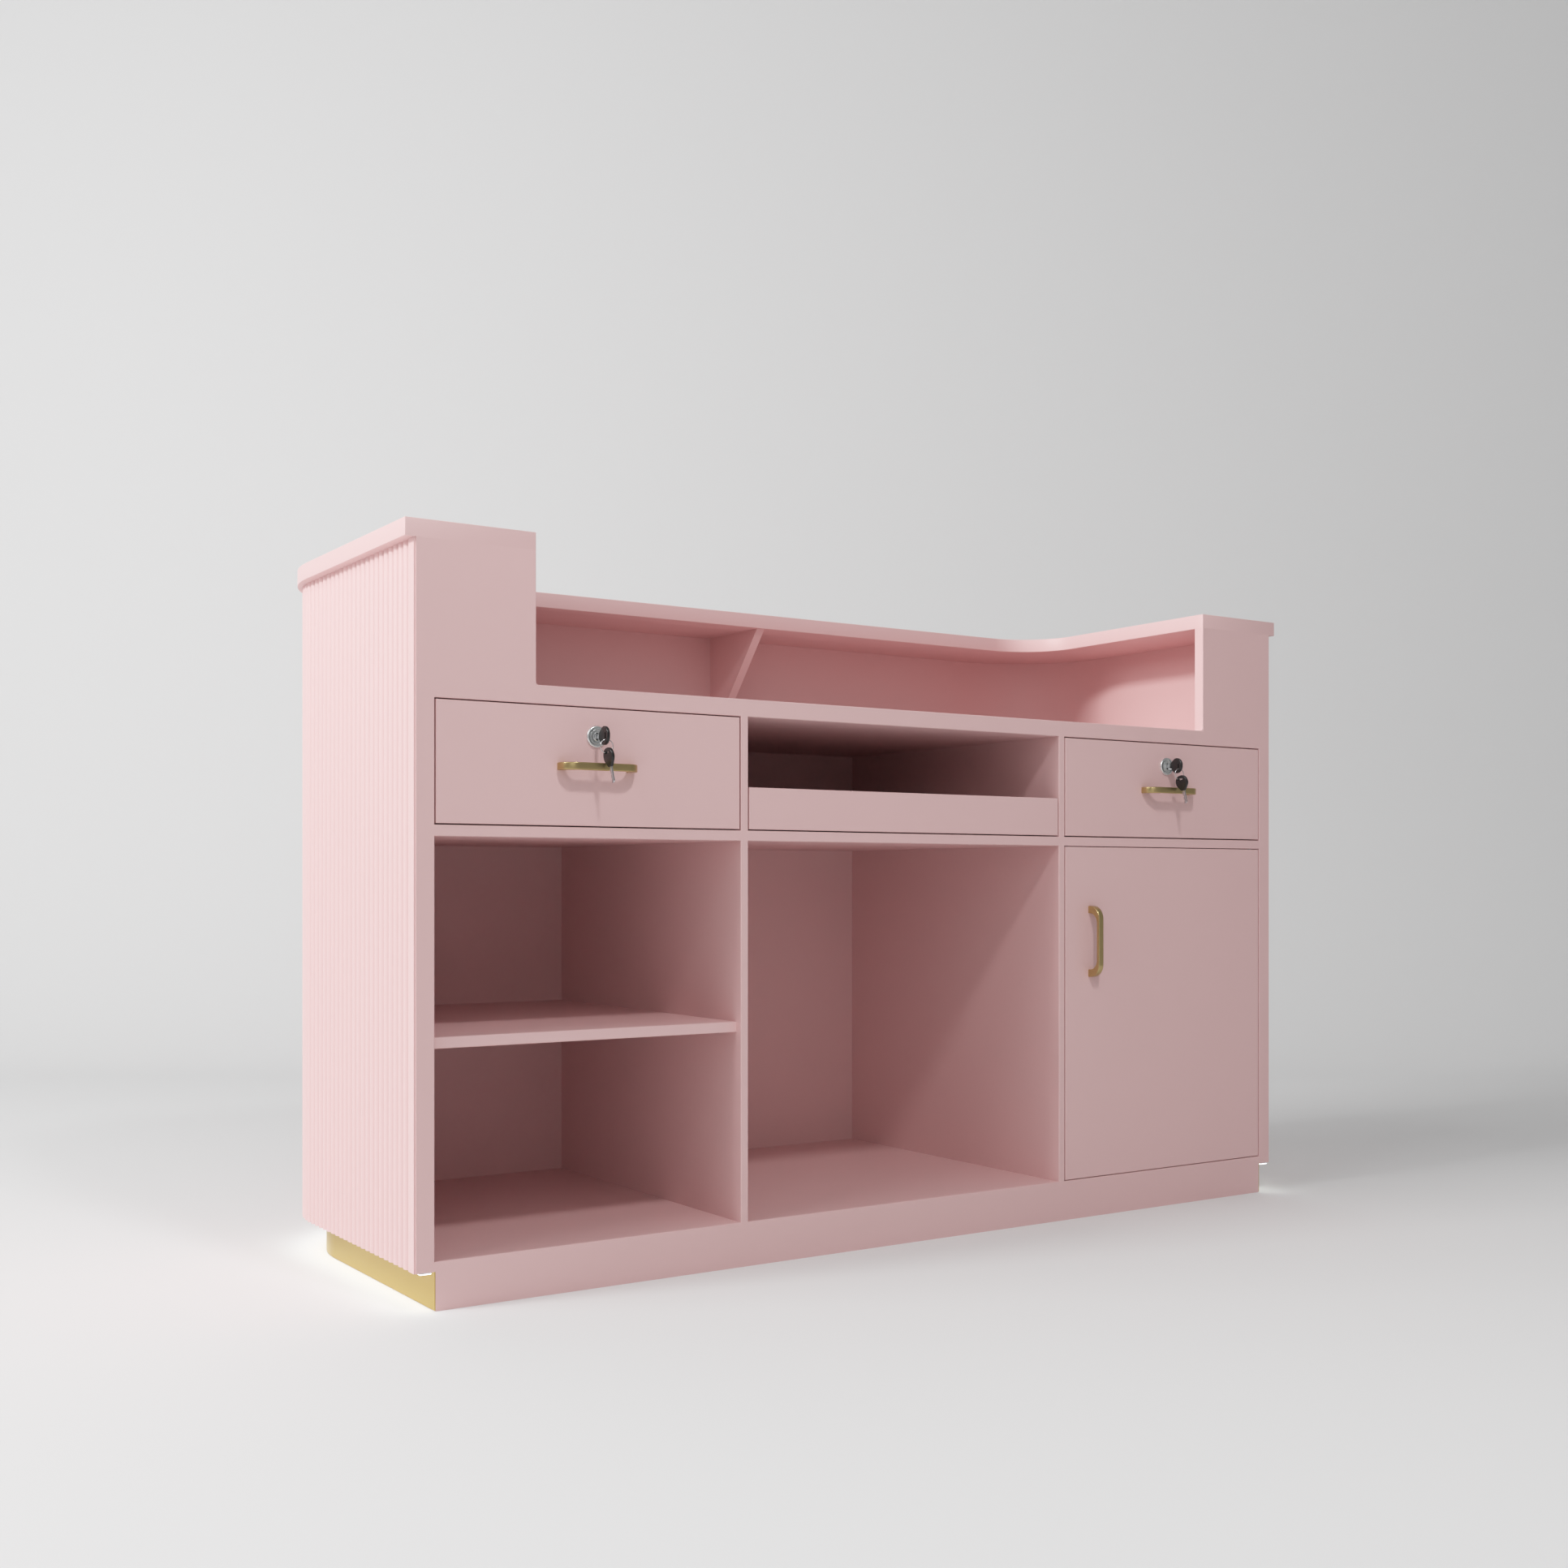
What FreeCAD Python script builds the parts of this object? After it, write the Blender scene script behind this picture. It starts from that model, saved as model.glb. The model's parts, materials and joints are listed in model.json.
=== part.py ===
import FreeCAD, Part
import math
import os

from FreeCAD import Rotation, Vector

# A reception and checkout counter of lacquered board, with a reeded curved outer face.
# Millimetres.  X runs along the counter, +Y points from the staff side to the customers, Z is up.
# Every shape is drawn with Y = 0 on the staff-side face, and save() moves it to the frame's origin,
# which is the middle of the counter's own footprint at floor level.

# ---- driving dimensions ----
TOP_HALF = 804.4            # half length of the transaction top
TOP_BACK = 619.0            # its depth
TOP_CORNER = 240.0
TOP_Z = 1000.0
TOP_THICK = 23.6
TOWER_IN = 624.1            # inner edge of each tower, from the middle
LEDGE_FRONT = 424.3         # staff-side edge of the customer ledge
LEDGE_CORNER = 100.0

WALL_IN = 770.0             # inner face of the curved wall
WALL_BACK = 584.5
WALL_CORNER = 185.0
BOARD_WALL = 12.0           # bent plywood wall
REED_THICK = 10.1           # reeded facing on it
WALL_BOTTOM = 50.0

STILE_IN = 765.0            # inner edge of the front stiles, which is also the plinth's side
STILE_OUT = 789.8
PANEL_THICK = 18.0          # end panels
REED_SETBACK = 1.6          # the facing stops just behind the end panels' face
FOOT_RADIUS = 4.5           # fillet where a tower meets the worktop

PLINTH_BACK = 579.4
PLINTH_CORNER = 207.0
SKIRT_THICK = 1.2
SKIRT_LIFT = 1.0
PLINTH_BOARD = 18.0
PLINTH_FRAME = 15.0
BEARERS = (-301.5, 300.5)   # cross bearers under the dividers

FLOOR_TOP = 62.7
MID_Z = (600.6, 615.2)      # middle rail boards
WORK_Z = (776.0, 800.6)     # worktop
SHELF_Z = (330.3, 345.0)
SHELF_SETBACK = 12.5
BACK_Y = (564.0, 576.0)     # back panel of the lower bays
LEFT_DIVIDER = (-307.5, -295.5)
RIGHT_DIVIDER = (294.5, 306.5)
BRACKET_X = (-3.5, 11.5)
BRACKET_Y = (430.0, 578.0)  # its sloping front edge, at the ledge and at the worktop

EASE = 0.8                  # small chamfer on every edge that a hand meets
GAP = 2.0                   # round the drawer fronts, the tray front and the door's sides
DOOR_GAP_Z = 1.2
FRONT_THICK = 15.0

DRAWER_Z = (617.0, 774.3)
TRAY_TOP = 676.5
BOX_BOARD = 12.0
BOX_Z = (632.0, 722.0)
BOX_BACK = 375.0
BOX_BOTTOM_Z = (634.0, 640.0)
TRAY_BOX_Z = (622.0, 668.0)
TRAY_BOTTOM_Z = (624.0, 633.0)

RUNNER_THICK = 12.7
RUNNER_HEIGHT = 45.0
RUNNER_Y = (20.0, 370.0)
RUNNER_SHEET = 1.2
DRAWER_RUNNER_Z = 677.0
TRAY_RUNNER_Z = 645.0

PULL_LENGTH = 115.0
PULL_WIDTH = 10.2
PULL_REACH = 25.0
PULL_STRAP = 6.0
PULL_FOOT = 12.0
PULL_OUTER_R = 21.0
PULL_INNER_R = 16.0
PULL_EASE = 0.9
PULL_Z = 695.0
DOOR_PULL = (363.3, 446.4)  # X and Z of its middle
SCREW_R = 2.0
SCREW_HEAD_R = 4.0
SCREW_HEAD = 2.0
SCREW_BITE = 12.0           # thread inside the handle's foot

LOCK_Z = 736.4
ROSE_R = 14.7
ROSE_PROUD = 3.5
BARREL_R = 9.5
BARREL_END = 22.0
NUT_Y = (15.0, 19.0)
NUT_FLATS = 24.0
PLUG_R = 8.0
PLUG_PROUD = 3.0
PLUG_CLEARANCE = 0.05
PLUG_TAIL_R = 4.0
PLUG_TAIL_END = 28.0
KEYHOLE = (2.3, 9.6)        # width and height
CAM_Y = (23.0, 25.5)
CAM_HALF = 6.0
CAM_REACH = 30.0
STRIKE_Y = (18.5, 20.5)
STRIKE_Z = 753.0
STRIKE_HALF = 15.0
STRIKE_LEG = 38.0

KEY_HEAD = (12.2, 12.6)     # half length and half width of a key's rounded head
KEY_ROUND = 11.4            # corner radius of its round end
KEY_HEAD_HALF = 2.2         # half of its thickness
KEY_HEAD_EASE = 1.2
KEY_HEAD_Y = -24.0          # middle of the head of the key in the lock
KEY_NOSE = (13.4, 4.6)      # where the head's narrow end stands, and its half width
KEY_CHEEK = 1.5             # where the straight flanks of that end begin
KEY_HOLE = (6.0, 4.6)       # the ring's hole: away from the blade, and to one side
KEY_HOLE_R = 2.0
KEY_BLADE = (2.0, 7.6)      # thickness and height
KEY_BLADE_LENGTH = 24.0     # bare blade beyond the head's narrow end
SPARE_TILT = 8.5            # degrees that the hanging key's tip leans out to the staff
SPARE_SWAY = 6.8            # and towards the counter's right-hand end
RING_R = 9.3
WIRE_R = 0.6
RING_TURN = 5.5             # degrees that the ring is turned from the counter's face
WIRE_REST = 0.8             # how far the wire lies from the middle of each hole

DOOR_PIVOT_X = 747.0
PIN_R = 3.0
PIN_CLEARANCE = 0.05
PIN_DEPTH = 8.0
BUSH_R = 5.0
CATCH_X = (330.0, 372.0)
CATCH_Y = (17.0, 32.0)
CATCH_Z = 588.0
CATCH_PLATE = 1.2

LIGHT_X = (768.7, 785.0)    # lighting strip under the wall, from the middle of the counter
CHANNEL_Z = 48.8
DIFFUSER_Z = 47.6
DIFFUSER_INSET = 0.8
DRIVER = ((560.0, 700.0), (300.0, 342.0), (24.0, 50.0))
GROMMET = (500.0, 25.0)     # X and Z of the cable grommet in the back of the plinth
GROMMET_R = (4.0, 8.0, 12.0)
GROMMET_FLANGE = 2.5

PEG_R = 2.5
PEG_SINK = 8.0
PEG_OUT = 8.0
PEG_Y = (60.0, 380.0)

# ---- places worked out from them ----
TOP_UNDER = TOP_Z - TOP_THICK
WALL_OUT = WALL_IN + BOARD_WALL
REED_OUT = WALL_OUT + REED_THICK
PACKER = WALL_IN - STILE_IN
LEFT_DRAWER = (-STILE_IN, LEFT_DIVIDER[0])
RIGHT_DRAWER = (RIGHT_DIVIDER[1], STILE_IN)
TRAY_BAY = (LEFT_DIVIDER[1], RIGHT_DIVIDER[0])
DOOR_X = (RIGHT_DIVIDER[1] + GAP, STILE_IN - GAP)
DOOR_Z = (FLOOR_TOP + DOOR_GAP_Z, MID_Z[0] - DOOR_GAP_Z)

placed = []


def save(name, *solids):
    """Write the solids as one node, moved from the drawing's place to the frame's."""
    shape = Part.makeCompound(list(solids)) if len(solids) > 1 else solids[0]
    shape = shape.copy()
    shape.translate(Vector(0, FRONT_Y, 0))
    shape.exportStep("parts/" + name + ".step")
    placed.append((name, shape))


def box(x, y, z):
    """A box from three (low, high) pairs."""
    size = [pair[1] - pair[0] for pair in (x, y, z)]
    return Part.makeBox(*size, Vector(x[0], y[0], z[0]))


def rod(radius, start, end):
    """A round bar between two points."""
    start, end = Vector(*start), Vector(*end)
    along = end - start
    return Part.makeCylinder(radius, along.Length, start, along)


def outline(corners):
    """A closed wire in the XY plane through (x, y, radius) corners, each rounded by its radius."""
    points = [Vector(x, y, 0) for x, y, _ in corners]
    turns = []
    for i, (_, _, radius) in enumerate(corners):
        here, before, after = points[i], points[i - 1], points[(i + 1) % len(points)]
        if radius == 0:
            turns.append((here, None, here))
            continue
        to_before = (before - here).normalize()
        to_after = (after - here).normalize()
        half = to_before.getAngle(to_after) / 2
        back = radius / math.tan(half)
        middle = here + (to_before + to_after).normalize() * (radius / math.sin(half) - radius)
        turns.append((here + to_before * back, middle, here + to_after * back))
    edges = []
    for i, (start, middle, end) in enumerate(turns):
        if middle is not None:
            edges.append(Part.Arc(start, middle, end).toShape())
        nxt = turns[(i + 1) % len(turns)][0]
        if (nxt - end).Length > 1e-6:
            edges.append(Part.makeLine(end, nxt))
    return Part.Wire(Part.__sortEdges__(edges))


def plate(corners, z):
    """A flat plate with this outline, between two heights."""
    face = Part.Face(outline(corners))
    face.translate(Vector(0, 0, z[0]))
    return face.extrude(Vector(0, 0, z[1] - z[0]))


def upright(corners, y):
    """A plate with an (x, z, radius) outline that stands across Y, between two depths."""
    flat = plate(corners, (-y[1], -y[0]))
    flat.rotate(Vector(0, 0, 0), Vector(1, 0, 0), 90)
    return flat


def u_plan(half, front, back, radius):
    """Plan of a counter-shaped block: square at the staff side, round at the customers' corners."""
    return [(-half, front, 0), (half, front, 0), (half, back, radius), (-half, back, radius)]


def u_wall(inner, outer, front, z):
    """A curved wall between two (half width, back, radius) plans, open at the staff side."""
    solid = plate(u_plan(outer[0], front, outer[1], outer[2]), z)
    return solid.cut(plate(u_plan(inner[0], front - 10, inner[1], inner[2]), (z[0] - 1, z[1] + 1)))


def inside_wall(shape):
    """The part of a board that fits inside the curved wall and behind the stiles."""
    plan = plate(u_plan(WALL_IN, -1, WALL_BACK, WALL_CORNER), (0, TOP_Z))
    trimmed = shape.common(plan)
    for side in (-1, 1):
        x = sorted((side * STILE_IN, side * (WALL_IN + 1)))
        trimmed = trimmed.cut(box(x, (-1, PANEL_THICK), (0, TOP_Z)))
    return trimmed


def mirror(shape):
    """The same piece on the other end of the counter."""
    return shape.mirror(Vector(0, 0, 0), Vector(1, 0, 0))


def eased_mouth(x, z):
    """Cutter that chamfers the staff-side edges round an opening."""
    wide = EASE + 1
    near = (x[0] - wide, -1, z[0] - wide)
    far = (x[1] + wide, EASE, z[1] + wide)
    return Part.makeWedge(*near, z[0], x[0], *far, z[1], x[1])


def ease_front(shape):
    """Chamfer the edges round a front panel's face at Y = 0."""
    edges = [e for e in shape.Edges if e.BoundBox.YMin > -1e-4 and e.BoundBox.YMax < 1e-4]
    outer = [e for e in edges if e.Length > 30]
    return shape.makeChamfer(EASE, outer)


def mouths():
    """Cutters for all the openings of the staff-side face."""
    lower = (FLOOR_TOP, MID_Z[0])
    upper = (MID_Z[1], WORK_Z[0])
    bays = ((-STILE_IN, LEFT_DIVIDER[0]), (LEFT_DIVIDER[1], RIGHT_DIVIDER[0]), (RIGHT_DIVIDER[1], STILE_IN))
    cutters = [eased_mouth(bay, z) for bay in bays for z in (lower, upper)]
    cutters.append(eased_mouth((-TOWER_IN, TOWER_IN), (WORK_Z[1], TOP_Z + 100)))
    return cutters


def eased(shape):
    """Ease a carcass board where it borders an opening."""
    for cutter in mouths():
        if shape.BoundBox.intersect(cutter.BoundBox):
            shape = shape.cut(cutter)
    return shape


# ---- carcass ----
def make_plinth():
    """Front plinth board, inner frame with two bearers, and the skirting just clear of the floor."""
    side = STILE_IN - SKIRT_THICK
    z = (0, WALL_BOTTOM)
    save("plinth_front", box((-side, side), (0, PLINTH_BOARD), z))
    skirt_in = (side, PLINTH_BACK - SKIRT_THICK, PLINTH_CORNER - SKIRT_THICK)
    frame_in = (side - PLINTH_FRAME, skirt_in[1] - PLINTH_FRAME, skirt_in[2] - PLINTH_FRAME)
    skirt = u_wall(skirt_in, (STILE_IN, PLINTH_BACK, PLINTH_CORNER), 0, (SKIRT_LIFT, WALL_BOTTOM))
    x_way, z_way = GROMMET
    way = rod(GROMMET_R[1], (x_way, PLINTH_BACK - 40, z_way), (x_way, PLINTH_BACK + 5, z_way))
    save("kick_skirting", skirt.cut(way))
    frame = u_wall(frame_in, skirt_in, PLINTH_BOARD, z).cut(way)
    turn_x, turn_y = frame_in[0] - frame_in[2], frame_in[1] - frame_in[2]
    sides = [box(x, (PLINTH_BOARD, turn_y), z) for x in ((-side, -turn_x), (turn_x, side))]
    back = box((-turn_x, turn_x), (turn_y, PLINTH_BACK), z)
    rails = [frame.common(block) for block in (*sides, back)]
    corners = frame.cut(sides + [back]).Solids
    half = PLINTH_FRAME / 2
    bearers = [box((x - half, x + half), (PLINTH_BOARD, frame_in[1]), z) for x in BEARERS]
    save("plinth_frame", *rails, *corners, *bearers)


def make_grommet():
    """Cable grommet through the back of the plinth, where the lighting's mains lead would come out."""
    x, z = GROMMET
    inner = PLINTH_BACK - SKIRT_THICK - PLINTH_FRAME
    flange = rod(GROMMET_R[2], (x, PLINTH_BACK, z), (x, PLINTH_BACK + GROMMET_FLANGE, z))
    barrel = rod(GROMMET_R[1], (x, inner, z), (x, PLINTH_BACK, z))
    bore = rod(GROMMET_R[0], (x, inner - 1, z), (x, PLINTH_BACK + GROMMET_FLANGE + 1, z))
    save("cable_grommet", flange.fuse(barrel).removeSplitter().cut(bore))


def make_lighting():
    """Aluminium channel and diffuser of the lighting strip under the wall, and its driver."""
    back = WALL_OUT - WALL_IN + WALL_BACK
    outer = (LIGHT_X[1], back + LIGHT_X[1] - WALL_OUT, WALL_CORNER + LIGHT_X[1] - WALL_IN)
    inner = (LIGHT_X[0], back + LIGHT_X[0] - WALL_OUT, WALL_CORNER + LIGHT_X[0] - WALL_IN)
    save("led_channel", u_wall(inner, outer, 0, (CHANNEL_Z, WALL_BOTTOM)))
    outer_lens = tuple(value - DIFFUSER_INSET for value in outer)
    inner_lens = tuple(value + DIFFUSER_INSET for value in inner)
    save("led_diffuser", u_wall(inner_lens, outer_lens, 0, (DIFFUSER_Z, CHANNEL_Z)))
    body = box(*DRIVER)
    save("led_driver", body.makeFillet(3.0, [e for e in body.Edges if e.BoundBox.ZLength > 20]))


def make_walls(peg_holes):
    """Bent plywood wall, reeded facing and the two end panels that close their staff-side edges."""
    z = (WALL_BOTTOM, TOP_UNDER)
    inner = (WALL_IN, WALL_BACK, WALL_CORNER)
    middle = tuple(value + BOARD_WALL for value in inner)
    outer = tuple(value + REED_THICK for value in middle)
    panel = end_panel()
    save("outer_shell", u_wall(inner, middle, PANEL_THICK, z).cut(peg_holes))
    facing = u_wall(middle, outer, REED_SETBACK, z)
    save("reeded_facing", facing.cut(panel).cut(mirror(panel)))
    save("left_end_panel", eased(panel))
    save("right_end_panel", eased(mirror(panel)))


def end_panel():
    """The left end panel: stile beside the bays, and the tower's face above the worktop."""
    worktop = WORK_Z[1]
    return upright([
        (-STILE_OUT, WALL_BOTTOM, 0),
        (-STILE_IN, WALL_BOTTOM, 0),
        (-STILE_IN, worktop, 0),
        (-TOWER_IN + FOOT_RADIUS, worktop, 0),
        (-TOWER_IN, worktop, FOOT_RADIUS),
        (-TOWER_IN, TOP_UNDER, 0),
        (-STILE_OUT, TOP_UNDER, 0),
    ], (0, PANEL_THICK))


def bay_board(x, z, front=0.0, back=BACK_Y[0]):
    """A level board of one bay."""
    return inside_wall(box(x, (front, back), z))


def make_boards(peg_holes):
    """Floor, dividers, back panel, middle rails, shelf and worktop."""
    bushes = pivot_rods(BUSH_R, PIN_DEPTH, 0.0)
    floor = bay_board((-WALL_IN, WALL_IN), (WALL_BOTTOM, FLOOR_TOP), 0, WALL_BACK)
    save("floor_board", eased(floor).cut(bushes))
    between = (FLOOR_TOP, WORK_Z[0])
    save("back_panel", inside_wall(box((-WALL_IN, WALL_IN), BACK_Y, between)))
    save("divider_left", eased(box(LEFT_DIVIDER, (0, BACK_Y[0]), between)).cut(peg_holes))
    save("divider_right", eased(box(RIGHT_DIVIDER, (0, BACK_Y[0]), between)))
    rails = {"left": (-WALL_IN, LEFT_DIVIDER[0]), "center": TRAY_BAY, "right": (RIGHT_DIVIDER[1], WALL_IN)}
    for name, x in rails.items():
        save("mid_board_" + name, eased(bay_board(x, MID_Z)).cut(bushes))
    save("worktop", eased(bay_board((-WALL_IN, WALL_IN), WORK_Z, 0, WALL_BACK)))
    shelf = bay_board((-WALL_IN, LEFT_DIVIDER[0]), SHELF_Z, SHELF_SETBACK)
    near = [e for e in shelf.Edges if abs(e.BoundBox.YMax - SHELF_SETBACK) < 1e-4]
    save("shelf", shelf.makeChamfer(EASE, [e for e in near if e.BoundBox.XLength > 30]))


def shelf_pegs(radius):
    """The four round pegs that carry the shelf, or the holes for them."""
    z = SHELF_Z[0] - PEG_R
    pegs = []
    for y in PEG_Y:
        pegs.append(rod(radius, (-WALL_IN - PEG_SINK, y, z), (-WALL_IN + PEG_OUT, y, z)))
        pegs.append(rod(radius, (LEFT_DIVIDER[0] - PEG_OUT, y, z), (LEFT_DIVIDER[0] + PEG_SINK, y, z)))
    return pegs


def make_top():
    """Transaction top: a customer ledge that turns forward over both towers."""
    z = (TOP_UNDER, TOP_Z)
    top = plate([
        (-TOP_HALF, 0, 0), (-TOWER_IN, 0, 0),
        (-TOWER_IN, LEDGE_FRONT, LEDGE_CORNER), (TOWER_IN, LEDGE_FRONT, LEDGE_CORNER),
        (TOWER_IN, 0, 0), (TOP_HALF, 0, 0),
        (TOP_HALF, TOP_BACK, TOP_CORNER), (-TOP_HALF, TOP_BACK, TOP_CORNER),
    ], z)
    rim = []
    for edge in top.Edges:
        b = edge.BoundBox
        upper = b.ZMin > TOP_Z - 1e-3
        corner = b.ZLength > 10 and b.YMax < 1
        if upper or corner:
            rim.append(edge)
    save("transaction_top", top.makeChamfer(EASE, rim))


def make_bracket():
    """Three-cornered bracket under the middle of the ledge."""
    top_front, foot_front = BRACKET_Y
    side = [(top_front, TOP_UNDER, 0), (WALL_BACK, TOP_UNDER, 0),
            (WALL_BACK, WORK_Z[1], 0), (foot_front, WORK_Z[1], 0)]
    web = upright(side, (0, BRACKET_X[1] - BRACKET_X[0]))
    web.rotate(Vector(0, 0, 0), Vector(0, 0, 1), 90)
    web.translate(Vector(BRACKET_X[1], 0, 0))
    save("ledge_bracket", web)


# ---- runners, drawers and tray ----
def runner_member(face, way, z_mid, web, flange_end, half_height):
    """One channel of a runner.  face is the board it hangs on, way is +1 or -1 along X."""
    def strip(start, end, low, high):
        x = sorted((face + way * start, face + way * end))
        return box(x, RUNNER_Y, (z_mid + low, z_mid + high))
    solid = strip(web, web + RUNNER_SHEET, -half_height, half_height)
    reach = sorted((web, flange_end))
    if flange_end < web:
        reach = [flange_end, web + RUNNER_SHEET]
    for low in (-half_height, half_height - RUNNER_SHEET):
        solid = solid.fuse(strip(reach[0], reach[1], low, low + RUNNER_SHEET))
    return solid.removeSplitter()


def runner_pair(bay, z_mid):
    """Fixed, middle and drawer members of the two runners in a bay, as three lists."""
    half = RUNNER_HEIGHT / 2
    sides = ((bay[0], 1), (bay[1], -1))
    fixed = [runner_member(face, way, z_mid, 0.0, 11.0, half) for face, way in sides]
    middle = [runner_member(face, way, z_mid, 2.4, 10.6, half - 2.7) for face, way in sides]
    last = RUNNER_THICK - RUNNER_SHEET
    moving = [runner_member(face, way, z_mid, last, 5.0, half - 5.7) for face, way in sides]
    return fixed, middle, moving


def open_box(bay, z, bottom_z):
    """Two sides, two ends and the bottom of a drawer or tray that runs in a bay."""
    left, right = bay[0] + RUNNER_THICK, bay[1] - RUNNER_THICK
    inner = (left + BOX_BOARD, right - BOX_BOARD)
    y = (FRONT_THICK, BOX_BACK)
    walls = [
        box((left, inner[0]), y, z),
        box((inner[1], right), y, z),
        box(inner, (y[0], y[0] + BOX_BOARD), z),
        box(inner, (y[1] - BOX_BOARD, y[1]), z),
    ]
    bottom = box(inner, (y[0] + BOX_BOARD, y[1] - BOX_BOARD), bottom_z)
    return walls, bottom


def make_drawer(side, bay):
    """One lockable drawer: front, box, pull, screws, lock, keys and runners."""
    middle = (bay[0] + bay[1]) / 2
    pull_at = (middle, PULL_Z)
    screws = pull_screws(pull_at, True, FRONT_THICK + BOX_BOARD)
    front = ease_front(box((bay[0] + GAP, bay[1] - GAP), (0, FRONT_THICK), DRAWER_Z))
    front = front.cut(rod(BARREL_R, (middle, -1, LOCK_Z), (middle, FRONT_THICK + 1, LOCK_Z)))
    walls, bottom = open_box(bay, BOX_Z, BOX_BOTTOM_Z)
    walls[2] = walls[2].cut(screws)
    save(side + "_drawer_front", front.cut(screws))
    save(side + "_drawer_box", *walls, bottom)
    save(side + "_drawer_pull", pull(pull_at, True).cut(screws))
    save(side + "_pull_screws", *screws)
    make_lock(side, middle)
    fixed, mid, moving = runner_pair(bay, DRAWER_RUNNER_Z)
    save(side + "_middle_runners", *mid)
    save(side + "_drawer_runners", *moving)
    return fixed


def make_tray():
    """Pull-out tray of the centre bay, with a low front and no pull."""
    front = box((TRAY_BAY[0] + GAP, TRAY_BAY[1] - GAP), (0, FRONT_THICK), (DRAWER_Z[0], TRAY_TOP))
    walls, bottom = open_box(TRAY_BAY, TRAY_BOX_Z, TRAY_BOTTOM_Z)
    save("tray_front", ease_front(front))
    save("tray_box", *walls, bottom)
    fixed, mid, moving = runner_pair(TRAY_BAY, TRAY_RUNNER_Z)
    save("tray_middle_runners", *mid)
    save("tray_runners", *moving)
    return fixed


def make_runner_mounts(fixed):
    """Cabinet members of all the runners, and the packers that bring two of them level with the stiles."""
    save("fixed_runners", *fixed)
    z_low = DRAWER_RUNNER_Z - RUNNER_HEIGHT / 2
    z = (z_low, z_low + RUNNER_HEIGHT)
    packer = box((-WALL_IN, -WALL_IN + PACKER), RUNNER_Y, z)
    save("runner_packers", packer, mirror(packer))


# ---- pulls ----
def pull(at, level):
    """D-shaped flat-bar pull, level or upright, with its feet on the face at Y = 0."""
    half = PULL_LENGTH / 2
    inner = half - PULL_FOOT
    reach = -PULL_REACH
    grip = reach + PULL_STRAP
    solid = plate([
        (-half, 0, 0), (-half, reach, PULL_OUTER_R), (half, reach, PULL_OUTER_R), (half, 0, 0),
        (inner, 0, 0), (inner, grip, PULL_INNER_R), (-inner, grip, PULL_INNER_R), (-inner, 0, 0),
    ], (-PULL_WIDTH / 2, PULL_WIDTH / 2))
    rim = [e for e in solid.Edges if e.BoundBox.ZLength < 1e-3 and e.BoundBox.YMin < -1e-3]
    solid = solid.makeFillet(PULL_EASE, rim)
    if not level:
        solid.rotate(Vector(0, 0, 0), Vector(0, 1, 0), 90)
    solid.translate(Vector(at[0], 0, at[1]))
    return solid


def pull_screws(at, level, head_y):
    """The two machine screws of a pull, with their heads behind the boards."""
    offset = (PULL_LENGTH - PULL_FOOT) / 2
    screws = []
    for way in (-1, 1):
        x = at[0] + (way * offset if level else 0)
        z = at[1] + (0 if level else way * offset)
        shank = rod(SCREW_R, (x, -SCREW_BITE, z), (x, head_y, z))
        head = rod(SCREW_HEAD_R, (x, head_y, z), (x, head_y + SCREW_HEAD, z))
        screws.append(shank.fuse(head).removeSplitter())
    return screws


# ---- locks and keys ----
def make_lock(side, x):
    """Cam lock of a drawer, with one key in it and a spare on the ring."""
    barrel = rod(BARREL_R, (x, 0, LOCK_Z), (x, BARREL_END, LOCK_Z))
    rose = Part.makeCone(ROSE_R, BARREL_R + 2.0, ROSE_PROUD, Vector(x, 0, LOCK_Z), Vector(0, -1, 0))
    bore = rod(PLUG_R + PLUG_CLEARANCE, (x, -ROSE_PROUD - 1, LOCK_Z), (x, BARREL_END + 1, LOCK_Z))
    save(side + "_lock_housing", barrel.fuse(rose).removeSplitter().cut(bore), lock_nut(x))
    save(side + "_lock_plug", lock_plug(x), lock_cam(x))
    in_lock = Rotation(Vector(0, 1, 0), Vector(0, 0, 1), Vector(1, 0, 0), "XYZ")
    save(side + "_key", key().transformed(placement(Vector(x, KEY_HEAD_Y, LOCK_Z), in_lock)))
    save(side + "_key_ring", key_ring(x))
    save(side + "_spare_key", spare_key(x))


def lock_nut(x):
    """Hexagonal nut that clamps the lock to the drawer front."""
    across = NUT_FLATS / math.sqrt(3)
    points = []
    for k in range(7):
        turn = math.radians(60 * k)
        points.append(Vector(x + across * math.cos(turn), NUT_Y[0], LOCK_Z + across * math.sin(turn)))
    nut = Part.Face(Part.makePolygon(points)).extrude(Vector(0, NUT_Y[1] - NUT_Y[0], 0))
    return nut.cut(rod(BARREL_R, (x, 0, LOCK_Z), (x, BARREL_END, LOCK_Z)))


def lock_plug(x):
    """Turning plug with its keyhole and the tail that carries the cam."""
    plug = rod(PLUG_R, (x, -PLUG_PROUD, LOCK_Z), (x, BARREL_END + 0.5, LOCK_Z))
    plug = plug.fuse(rod(PLUG_TAIL_R, (x, BARREL_END, LOCK_Z), (x, PLUG_TAIL_END, LOCK_Z))).removeSplitter()
    half_w, half_h = KEYHOLE[0] / 2, KEYHOLE[1] / 2
    slot_end = KEY_HEAD_Y + KEY_NOSE[0] + KEY_BLADE_LENGTH + 0.5
    slot = box((x - half_w, x + half_w), (-PLUG_PROUD - 1, slot_end), (LOCK_Z - half_h, LOCK_Z + half_h))
    return plug.cut(slot)


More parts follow.
